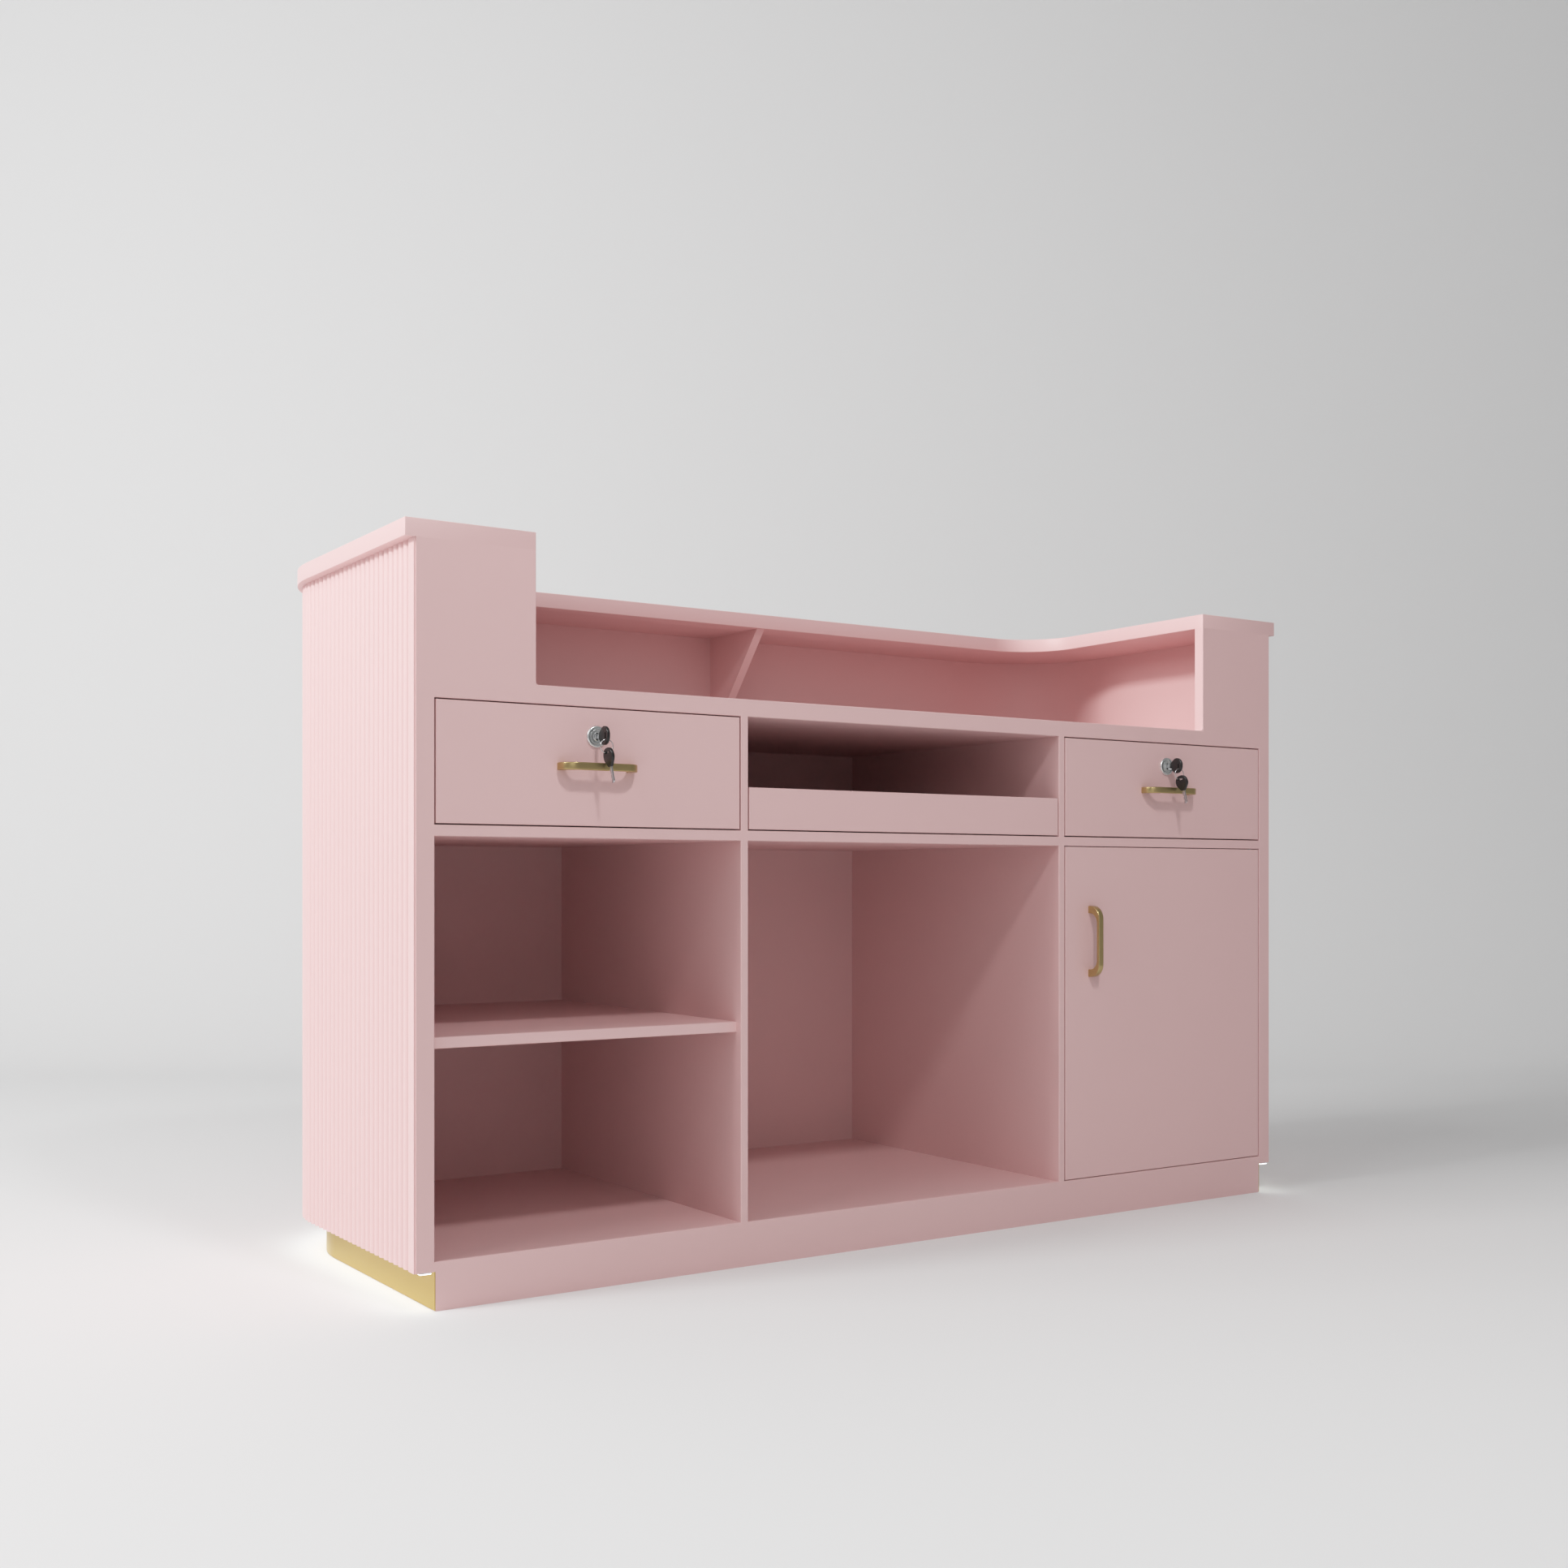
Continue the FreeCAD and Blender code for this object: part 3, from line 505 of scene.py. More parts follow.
def dress(piece: bpy.types.Object, finish: Finish, body: str, *replaced: str,
          angle: float = SMOOTH_ANGLE) -> bpy.types.Object:
    """Finish a new piece: smooth shading, material, body and the nodes that it stands for.

    Args:
        piece: The piece.
        finish: Its finish.
        body: The body that it rides on.
        replaced: The nodes that it replaces.
        angle: The sharpest turn that is shaded smooth.

    Returns:
        The piece.
    """
    data = piece.data
    data.materials.clear()
    data.materials.append(finish.material())
    data.polygons.foreach_set("use_smooth", [True] * len(data.polygons))
    data.set_sharp_from_angle(angle=angle)
    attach(piece, body)
    if replaced:
        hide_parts(*replaced)
    LOG.info("%s: %d faces on %s", piece.name, len(data.polygons), body)
    return piece


def dress_node(name: str, finish: Finish) -> None:
    """Give a node that keeps its shape its finish."""
    node = frame["nodes"][name]
    node.data.materials.clear()
    node.data.materials.append(finish.material())
    LOG.info("%s: kept, %s", name, finish.name)


# ---- geometry nodes ----
class GeometryTree:
    """A Geometry Nodes tree under construction."""

    def __init__(self, name: str, inputs: Sequence[tuple[str, str]]) -> None:
        """Start a tree.

        Args:
            name: Its name.
            inputs: Name and socket type of each input after the geometry.
        """
        self.tree = bpy.data.node_groups.new(name, "GeometryNodeTree")
        face = self.tree.interface
        face.new_socket("Geometry", in_out="INPUT", socket_type="NodeSocketGeometry")
        self.keys = {label: face.new_socket(label, in_out="INPUT", socket_type=kind).identifier
                     for label, kind in inputs}
        face.new_socket("Geometry", in_out="OUTPUT", socket_type="NodeSocketGeometry")
        self.given = self.tree.nodes.new("NodeGroupInput").outputs
        self.result = self.tree.nodes.new("NodeGroupOutput").inputs

    def node(self, kind: str, settings: dict[str, object] | None = None, **values: object) -> bpy.types.Node:
        """Add a node.

        Args:
            kind: The node's type.
            settings: Properties of the node itself.
            values: For each input, with _ for a space, a socket to link or a value to set.

        Returns:
            The node.
        """
        made = self.tree.nodes.new(kind)
        for key, value in (settings or {}).items():
            setattr(made, key, value)
        for key, value in values.items():
            self.feed(made.inputs[key.replace("_", " ")], value)
        return made

    def feed(self, socket: bpy.types.NodeSocket, value: object) -> None:
        """Link a socket to an input, or set it."""
        if isinstance(value, bpy.types.NodeSocket):
            self.tree.links.new(value, socket)
        else:
            socket.default_value = value

    def math(self, operation: str, *values: object) -> bpy.types.NodeSocket:
        """Add a math node and return its output."""
        return math_node(self.tree, operation, *values)

    def vector(self, operation: str, *values: object) -> bpy.types.NodeSocket:
        """Add a vector math node and return its vector output."""
        made = self.tree.nodes.new("ShaderNodeVectorMath")
        made.operation = operation
        names = [0, "Scale"] if operation == "SCALE" else [0, 1, 2]
        for key, value in zip(names, values):
            self.feed(made.inputs[key], value)
        return made.outputs["Vector"]

    def run(self, piece: bpy.types.Object, values: dict[str, object]) -> None:
        """Use the tree on a piece, and keep the result as its plain mesh.

        Args:
            piece: The piece that carries the starting geometry.
            values: The tree's inputs by name.
        """
        modifier = piece.modifiers.new(self.tree.name, "NODES")
        modifier.node_group = self.tree
        for label, value in values.items():
            modifier[self.keys[label]] = value
        settle(piece)


def reed_tree() -> GeometryTree:
    """Build the tree that turns a plan line into a wall of half-round reeds.

    A rectangle is swept along the line.  The points of its outer side are drawn in by an arc that
    repeats with the pitch, and stays at its crest for one pitch at each end of the wall.

    Returns:
        The tree.
    """
    made = GeometryTree("reeded_wall", [
        ("Pitch", "NodeSocketFloat"), ("Reed Radius", "NodeSocketFloat"), ("Facets", "NodeSocketInt"),
        ("Thickness", "NodeSocketFloat"), ("Bottom", "NodeSocketFloat"), ("Top", "NodeSocketFloat"),
        ("Groove Softness", "NodeSocketFloat"), ("Smooth Angle", "NodeSocketFloat"),
        ("Material", "NodeSocketMaterial")])
    given = made.given
    line = made.node("GeometryNodeMeshToCurve", Mesh=given["Geometry"]).outputs["Curve"]
    length = made.node("GeometryNodeCurveLength", Curve=line).outputs["Length"]
    reeds = made.math("ROUND", made.math("DIVIDE", length, given["Pitch"]))
    pitch = made.math("DIVIDE", length, reeds)
    points = made.math("ADD", made.math("MULTIPLY", reeds, given["Facets"]), 1.0)
    spaced = made.node("GeometryNodeResampleCurve", {"mode": "COUNT"}, Curve=line, Count=points)
    upright = made.node("GeometryNodeSetCurveNormal", {"mode": "Z_UP"}, Curve=spaced.outputs["Curve"])
    index = made.node("GeometryNodeInputIndex").outputs["Index"]
    facet = made.math("DIVIDE", pitch, given["Facets"])
    along = made.math("MULTIPLY", index, facet)
    last = made.math("SUBTRACT", length, pitch)
    inner = made.math("MAXIMUM", made.math("MINIMUM", along, last), pitch)
    half_pitch = made.math("MULTIPLY", pitch, 0.5)
    off_crest = made.math("PINGPONG", made.math("SUBTRACT", inner, pitch), half_pitch)
    radius = given["Reed Radius"]
    squares = made.math("SUBTRACT", made.math("MULTIPLY", radius, radius),
                        made.math("MULTIPLY", off_crest, off_crest))
    sag = made.math("SUBTRACT", made.math("SQRT", squares), radius)
    half_square = made.math("MULTIPLY", half_pitch, half_pitch)
    valley = made.math("SUBTRACT", made.math("SQRT", made.math(
        "SUBTRACT", made.math("MULTIPLY", radius, radius), half_square)), radius)
    floor = made.math("ADD", valley, made.math("MULTIPLY", given["Groove Softness"], 0.4))
    depth = made.math("SMOOTH_MAX", sag, floor, given["Groove Softness"])
    crest = made.math("MINIMUM", depth, 0.0)
    tangent = made.node("GeometryNodeInputTangent").outputs["Tangent"]
    outward = made.vector("CROSS_PRODUCT", (0.0, 0.0, 1.0), tangent)
    shift = made.vector("SCALE", outward, crest)
    marked = made.node("GeometryNodeCaptureAttribute", {"domain": "POINT"})
    marked.capture_items.new("VECTOR", "Shift")
    made.feed(marked.inputs["Geometry"], upright.outputs["Curve"])
    made.feed(marked.inputs["Shift"], shift)
    height = made.math("SUBTRACT", given["Top"], given["Bottom"])
    section = made.node("GeometryNodeCurvePrimitiveQuadrilateral", {"mode": "RECTANGLE"},
                        Width=given["Thickness"], Height=height)
    outer_flag = made.node("GeometryNodeCaptureAttribute", {"domain": "POINT"})
    outer_flag.capture_items.new("FLOAT", "Outer")
    made.feed(outer_flag.inputs["Geometry"], section.outputs["Curve"])
    place = made.node("GeometryNodeInputPosition").outputs["Position"]
    split = made.node("ShaderNodeSeparateXYZ", Vector=place)
    made.feed(outer_flag.inputs["Outer"], made.math("MULTIPLY", split.outputs["X"], -1.0))
    half_thick = made.math("MULTIPLY", given["Thickness"], 0.5)
    half_height = made.math("MULTIPLY", height, -0.5)
    offset = made.node("ShaderNodeCombineXYZ", X=half_thick, Y=half_height)
    moved = made.node("GeometryNodeTransform", Geometry=outer_flag.outputs["Geometry"],
                      Translation=offset.outputs["Vector"])
    swept = made.node("GeometryNodeCurveToMesh", Curve=marked.outputs["Geometry"],
                      Profile_Curve=moved.outputs["Geometry"], Fill_Caps=True)
    on_face = made.node("FunctionNodeCompare", {"data_type": "FLOAT", "operation": "GREATER_THAN"})
    made.feed(on_face.inputs[0], outer_flag.outputs["Outer"])
    drawn = made.node("GeometryNodeSetPosition", Geometry=swept.outputs["Mesh"],
                      Selection=on_face.outputs["Result"], Offset=marked.outputs["Shift"])
    angle = made.node("GeometryNodeInputMeshEdgeAngle").outputs["Unsigned Angle"]
    gentle = made.node("FunctionNodeCompare", {"data_type": "FLOAT", "operation": "LESS_THAN"})
    made.feed(gentle.inputs[0], angle)
    made.feed(gentle.inputs[1], given["Smooth Angle"])
    smooth_faces = made.node("GeometryNodeSetShadeSmooth", {"domain": "FACE"},
                             Geometry=drawn.outputs["Geometry"], Shade_Smooth=True)
    smooth = made.node("GeometryNodeSetShadeSmooth", {"domain": "EDGE"},
                       Geometry=smooth_faces.outputs["Geometry"], Shade_Smooth=gentle.outputs["Result"])
    real = made.node("GeometryNodeRealizeInstances", Geometry=smooth.outputs["Geometry"])
    painted = made.node("GeometryNodeSetMaterial", Geometry=real.outputs["Geometry"],
                        Material=given["Material"])
    made.feed(made.result["Geometry"], painted.outputs["Geometry"])
    return made


def fastener_tree() -> GeometryTree:
    """Build the tree that puts one fastener at every point of a mesh, all turned one way.

    Returns:
        The tree.
    """
    made = GeometryTree("fasteners", [("Fastener", "NodeSocketObject"), ("Turn", "NodeSocketRotation"),
                                      ("Material", "NodeSocketMaterial")])
    given = made.given
    shape = made.node("GeometryNodeObjectInfo", Object=given["Fastener"])
    placed = made.node("GeometryNodeInstanceOnPoints", Points=given["Geometry"],
                       Instance=shape.outputs["Geometry"], Rotation=given["Turn"])
    real = made.node("GeometryNodeRealizeInstances", Geometry=placed.outputs["Instances"])
    painted = made.node("GeometryNodeSetMaterial", Geometry=real.outputs["Geometry"],
                        Material=given["Material"])
    made.feed(made.result["Geometry"], painted.outputs["Geometry"])
    return made


def points_piece(name: str, places: Iterable[Vector], joined: bool = False) -> bpy.types.Object:
    """Make a mesh of bare points, or of one line through them, for a tree to work on."""
    places = list(places)
    data = bpy.data.meshes.new(name)
    edges = [(i, i + 1) for i in range(len(places) - 1)] if joined else []
    data.from_pydata(places, edges, [])
    piece = bpy.data.objects.new(name, data)
    bpy.context.scene.collection.objects.link(piece)
    return piece


# ---- sub-assemblies ----
@dataclass
class Carcass:
    """Boards, curved wall, reeds, ledge and plinth of the counter."""

    ledge_depth: float = 0.1947
    top_corner: float = 0.240
    notch_corner: float = 0.100
    foot_radius: float = 0.0045
    panel_depth: float = 0.018
    edge: float = 0.001
    reed_corner: float = 0.2071
    reed_pitch: float = 0.01704
    reed_radius: float = 0.0089
    reed_facets: int = 18
    groove_softness: float = 0.0004
    skirt_corner: float = 0.207
    light_corner: float = 0.200
    light_width: float = 0.0163
    wall_thickness: float = 0.012
    peg: tuple[float, float] = (0.0025, 0.016)
    lens_edge: float = 0.0004
    lacquered: tuple[str, ...] = (
        "floor_board", "plinth_front", "left_end_panel", "right_end_panel", "back_panel", "divider_left",
        "divider_right", "mid_board_left", "mid_board_center", "mid_board_right", "worktop", "ledge_bracket",
        "shelf")

    def build(self) -> None:
        """Make and dress every piece of the carcass."""
        for name in self.lacquered:
            dress_node(name, LACQUER)
        dress_node("plinth_frame", PLYWOOD)
        dress_node("runner_packers", PLYWOOD)
        self.shell()
        self.reeds()
        self.top()
        self.skirting()
        self.light()
        self.grommet()
        self.pegs()

    def shell(self) -> None:
        """Bent wall behind the reeds."""
        low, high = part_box("outer_shell")
        corner = self.reed_corner - (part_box("reeded_facing")[1].x - high.x)
        mesh = u_wall((high.x, high.y, corner), self.wall_thickness, low.y, low.z, high.z)
        dress(shaped("bent_wall", mesh), LACQUER, Body.COUNTER.value, "outer_shell")

    def reeds(self) -> None:
        """Half-round reeds round the three outer sides."""
        low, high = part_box("reeded_facing")
        thickness = high.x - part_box("outer_shell")[1].x
        line = u_path(high.x, low.y, high.y, self.reed_corner, math.radians(1.5))
        piece = points_piece("reeds", [Vector((p.x, p.y, low.z)) for p in line], joined=True)
        reed_tree().run(piece, {
            "Pitch": self.reed_pitch, "Reed Radius": self.reed_radius, "Facets": self.reed_facets,
            "Thickness": thickness, "Bottom": low.z, "Top": high.z,
            "Groove Softness": self.groove_softness, "Smooth Angle": math.radians(50),
            "Material": LACQUER.material()})
        dress(piece, LACQUER, Body.COUNTER.value, "reeded_facing", angle=math.radians(50))

    def top(self) -> None:
        """Ledge that turns forward over both towers, with softly rounded edges."""
        low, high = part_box("transaction_top")
        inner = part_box("right_end_panel")[0].x + self.foot_radius
        joint = low.y + self.panel_depth
        ledge = high.y - self.ledge_depth
        outer = high.x
        outline = rounded_outline([
            (-outer, low.y, 0), (-inner, low.y, 0), (-inner, joint, 0), (-inner, ledge, self.notch_corner),
            (inner, ledge, self.notch_corner), (inner, joint, 0), (inner, low.y, 0), (outer, low.y, 0),
            (outer, high.y, self.top_corner), (-outer, high.y, self.top_corner)], math.radians(2))
        mesh = prism(outline, low.z, high.z)
        near = 1e-5

        def free(a: Vector, b: Vector) -> bool:
            """Whether an edge stands free, and isn't flush with an end panel."""
            upper = min(a.z, b.z) > high.z - near
            upright = abs(a.z - b.z) > near
            if upper:
                return True
            if upright:
                return max(a.y, b.y) < low.y + near
            return max(a.y, b.y) > joint + near and min(a.y, b.y) > low.y + near \
                or min(abs(a.x), abs(b.x)) > outer - near

        round_edges(mesh, self.edge, free)
        dress(shaped("ledge_top", mesh), LACQUER, Body.COUNTER.value, "transaction_top")

    def skirting(self) -> None:
        """Brass strip round the plinth."""
        low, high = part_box("kick_skirting")
        thickness = high.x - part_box("plinth_front")[1].x
        mesh = u_wall((high.x, high.y, self.skirt_corner), thickness, low.y, low.z, high.z)
        dress(shaped("brass_skirting", mesh), SKIRT_BRASS, Body.COUNTER.value, "kick_skirting")

    def light(self) -> None:
        """Channel and opal lens of the light strip, and the driver behind the plinth."""
        low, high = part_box("led_channel")
        width = self.light_width
        mesh = u_wall((high.x, high.y, self.light_corner), width, low.y, low.z, high.z)
        dress(shaped("light_channel", mesh), ALUMINIUM, Body.COUNTER.value, "led_channel")
        lens_low, lens_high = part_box("led_diffuser")
        inset = high.x - lens_high.x
        mesh = u_wall((lens_high.x, lens_high.y, self.light_corner - inset), width - 2 * inset, lens_low.y,
                      lens_low.z, lens_high.z)
        under = lens_low.z + 1e-5
        round_edges(mesh, self.lens_edge, lambda a, b: max(a.z, b.z) < under, segments=2)
        dress(shaped("light_lens", mesh), LENS, Body.COUNTER.value, "led_diffuser")
        dress_node("led_driver", WHITE_PLASTIC)

    def grommet(self) -> None:
        """Moulded rubber grommet in the back of the plinth."""
        low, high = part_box("cable_grommet")
        middle = (low + high) / 2
        flange, barrel, bore = 0.012, 0.008, 0.004
        lip = 0.0025
        depth = high.y - low.y
        profile = [(bore, 0), (barrel, 0), (barrel, depth - lip), (flange - 0.0008, depth - lip),
                   (flange, depth - lip + 0.0007), (flange - 0.0006, depth - 0.0005),
                   (flange - 0.002, depth),
                   (bore + 0.0012, depth), (bore, depth - 0.0012), (bore, 0)]
        turn = Matrix.Translation((middle.x, low.y, middle.z)) @ Matrix.Rotation(-math.pi / 2, 4, "X")
        dress(shaped("grommet", turned(profile, 48), turn), RUBBER, Body.COUNTER.value, "cable_grommet")

    def pegs(self) -> None:
        """Shelf pegs with rounded ends, repeated where the model's pegs stand."""
        low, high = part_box("shelf_pegs")
        radius, length = self.peg
        inset = 0.0005
        profile = [(0, 0), (radius - inset, 0), (radius, inset), (radius, length - inset),
                   (radius - inset, length), (0, length)]
        turn = Matrix.Rotation(math.pi / 2, 4, "Y")
        template = shaped("peg", turned(profile, 24), turn)
        z = (low.z + high.z) / 2
        spots = [Vector((x, y, z)) for x in (low.x, high.x - length)
                 for y in (low.y + radius, high.y - radius)]
        piece = points_piece("peg_set", spots)
        fastener_tree().run(piece, {"Fastener": template, "Material": STEEL.material()})
        bpy.data.objects.remove(template)
        dress(piece, STEEL, Body.COUNTER.value, "shelf_pegs")


@dataclass
class Pull:
    """A D-shaped pull of darkened brass, held by two screws from behind."""

    node: str
    screws: str
    body: str
    level: bool
    strap: float = 0.006
    foot: float = 0.012
    outer_radius: float = 0.021
    inner_radius: float = 0.016
    edge: float = 0.0013
    screw_radius: float = 0.002
    head_radius: float = 0.004
    head_height: float = 0.002

    def build(self) -> None:
        """Make the pull and its screws."""
        low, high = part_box(self.node)
        middle = (low + high) / 2
        size = high - low
        half = (size.x if self.level else size.z) / 2
        width = size.z if self.level else size.x
        inner = half - self.foot
        grip = -size.y + self.strap
        outline = rounded_outline([
            (-half, 0, 0), (-half, -size.y, self.outer_radius), (half, -size.y, self.outer_radius),
            (half, 0, 0), (inner, 0, 0), (inner, grip, self.inner_radius),
            (-inner, grip, self.inner_radius), (-inner, 0, 0)])
        mesh = prism(outline, -width / 2, width / 2)
        round_edges(mesh, self.edge,
                    lambda a, b: abs(a.z - b.z) < FLAT and min(a.y, b.y) < -1e-5, segments=4)
        turn = Matrix.Translation((middle.x, high.y, middle.z))
        if not self.level:
            turn = turn @ Matrix.Rotation(math.pi / 2, 4, "Y")
        dress(shaped(self.node + "_bar", mesh, turn), ANTIQUE_BRASS, self.body, self.node)
        self.fix(middle)

    def fix(self, middle: Vector) -> None:
        """Put in the two screws.

        Args:
            middle: The pull's middle.
        """
        low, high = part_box(self.screws)
        template = screw(self.screw_radius, self.head_radius, high.y - low.y, self.head_height)
        across = ((high.x - low.x) if self.level else (high.z - low.z)) / 2 - self.head_radius
        reach = Vector((across, 0, 0)) if self.level else Vector((0, 0, across))
        centre = Vector((middle.x, low.y, middle.z))
        piece = points_piece(self.screws + "_pair", [centre - reach, centre + reach])
        fastener_tree().run(piece, {"Fastener": template, "Material": STEEL.material()})
        bpy.data.objects.remove(template)
        dress(piece, STEEL, self.body, self.screws)


def screw(radius: float, head: float, length: float, head_height: float) -> bpy.types.Object:
    """Make a machine screw along +Y from its tip, with a domed head and a cross recess.

    Args:
        radius: Shank radius.
        head: Head radius.
        length: Overall length.
        head_height: Height of the head.

    Returns:
        The template object.
    """
    neck = length - head_height
    tip = radius * 0.3
    profile = [(0, 0), (radius - tip, 0), (radius, tip), (radius, neck), (head, neck),
               (head, neck + head_height * 0.35), (head * 0.86, neck + head_height * 0.75),
               (head * 0.55, neck + head_height * 0.96), (0, length)]
    piece = shaped("screw", turned(profile, 24))
    arm, slot, deep = head * 0.55, head * 0.11, head_height * 0.6
    bars = []
    for along, across in ((arm, slot), (slot, arm)):
        bars.append(prism(rectangle((-along, -across), (along, across)), length - deep, length + deep))
    carve(piece, *bars)
    piece.data.transform(Matrix.Rotation(-math.pi / 2, 4, "X"))
    return piece


@dataclass
class CamLock:
    """Cam lock of a drawer: rose and barrel on the drawer, plug that turns, and its keys."""

    side: Side
    rose_radius: float = 0.0147
    proud: float = 0.0035
    barrel: float = 0.0095
    bore: float = 0.00805
    plug: float = 0.008
    plug_proud: float = 0.003
    keyhole: tuple[float, float] = (0.0026, 0.0102)
    keyhole_depth: float = 0.0140
    thread_pitch: float = 0.001
    thread_depth: float = 0.00035
    nut_across: float = 0.024
    nut_span: tuple[float, float] = (-0.019, -0.015)
    cam_span: tuple[float, float] = (-0.0255, -0.0230)

    @property
    def body(self) -> str:
        """The drawer's body."""
        return f"{self.side.value}_drawer"

    @property
    def lock_body(self) -> str:
        """The turning body."""
        return f"{self.side.value}_lock"

    @property
    def middle(self) -> Vector:
        """Where the lock's axis meets the drawer's face."""
        low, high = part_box(f"{self.side.value}_lock_housing")
        return Vector(((low.x + high.x) / 2, low.y + self.proud, (low.z + high.z) / 2))

    def facing_out(self) -> Matrix:
        """Turn a shape made along +Z to stand out from the drawer's face."""
        return Matrix.Translation(self.middle) @ Matrix.Rotation(math.pi / 2, 4, "X")

    def build(self) -> None:
        """Make the housing, the plug and the keys."""
        self.housing()
        self.cylinder()
        Keys(self.side, self.middle).build()

    def housing(self) -> None:
        """Bevelled rose with a groove round a raised ring, threaded barrel and nut."""
        r, top = self.rose_radius, self.proud
        ring = self.barrel + 0.0012
        groove = 0.0018
        tail = -0.022
        profile = [(self.bore, tail), (self.barrel, tail)]
        pitch = self.thread_pitch
        turns = int((-tail - 0.001) / pitch)
        for k in range(turns):
            z = tail + k * pitch
            profile += [(self.barrel, z + 0.0001), (self.barrel - self.thread_depth, z + pitch * 0.5)]
        profile += [(self.barrel, -0.0006), (self.barrel, 0), (r, 0), (r, top - 0.0014),
                    (r - 0.0005, top - 0.0006), (r - 0.0012, top - 0.0001), (r - 0.0017, top),
                    (ring + 0.0008, top), (ring + 0.0005, top - groove), (ring - 0.0005, top - groove),
                    (ring - 0.0008, top - 0.0002), (ring - 0.0011, top), (self.bore + 0.0004, top),
                    (self.bore, top - 0.0004), (self.bore, tail)]
        piece = shaped(f"{self.side.value}_lock_rose", turned(profile, 96), self.facing_out())
        dress(piece, CHROME, self.body, f"{self.side.value}_lock_housing")
        low, high = self.nut_span
        across = self.nut_across / math.sqrt(3)
        corners = [Vector((across * math.cos(math.tau * k / 6), across * math.sin(math.tau * k / 6)))
                   for k in range(6)]
        nut = shaped(f"{self.side.value}_lock_nut", prism(corners, low, high))
        bore = turned([(0, low - 0.001), (self.barrel, low - 0.001), (self.barrel, high + 0.001),
                       (0, high + 0.001)], 64)
        mesh = bmesh.new()
        mesh.from_mesh(nut.data)
        round_edges(mesh, 0.0006, lambda a, b: abs(a.z - b.z) < FLAT, segments=2)
        mesh.to_mesh(nut.data)
        mesh.free()
        carve(nut, bore)
        nut.data.transform(self.facing_out())
        dress(nut, STEEL, self.body)

    def cylinder(self) -> None:
        """Turning plug with a dished face and keyhole, and the cam on its tail."""
        r, top = self.plug, self.plug_proud
        tail_radius, tail, end = 0.004, -0.0225, -0.028
        profile = [(0, end), (tail_radius - 0.0004, end), (tail_radius, end + 0.0004), (tail_radius, tail),
                   (r, tail), (r, top - 0.0005), (r - 0.0005, top), (r - 0.0016, top),
                   (r - 0.0020, top - 0.0004), (r - 0.0024, top - 0.0004), (r - 0.0028, top - 0.0001),
                   (0, top - 0.0001)]
        piece = shaped(f"{self.side.value}_plug", turned(profile, 96))
        half_w, half_h = self.keyhole[0] / 2, self.keyhole[1] / 2
        slot = prism(rectangle((-half_w, -half_h), (half_w, half_h)), -self.keyhole_depth, top + 0.001)
        carve(piece, slot)
        piece.data.transform(self.facing_out())
        dress(piece, CHROME, self.lock_body, f"{self.side.value}_lock_plug")
        low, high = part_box(f"{self.side.value}_lock_plug")
        half, reach = 0.006, high.x - self.middle.x
        outline = rounded_outline([(-half - 0.002, -half, half - 0.0005), (reach, -half, 0.002),
                                   (reach, half, 0.002), (-half - 0.002, half, half - 0.0005)])
        mesh = prism(outline, *self.cam_span)
        round_edges(mesh, 0.0004, lambda a, b: abs(a.z - b.z) < FLAT, segments=2)
        dress(shaped(f"{self.side.value}_cam", mesh, self.facing_out()), STEEL, self.lock_body)


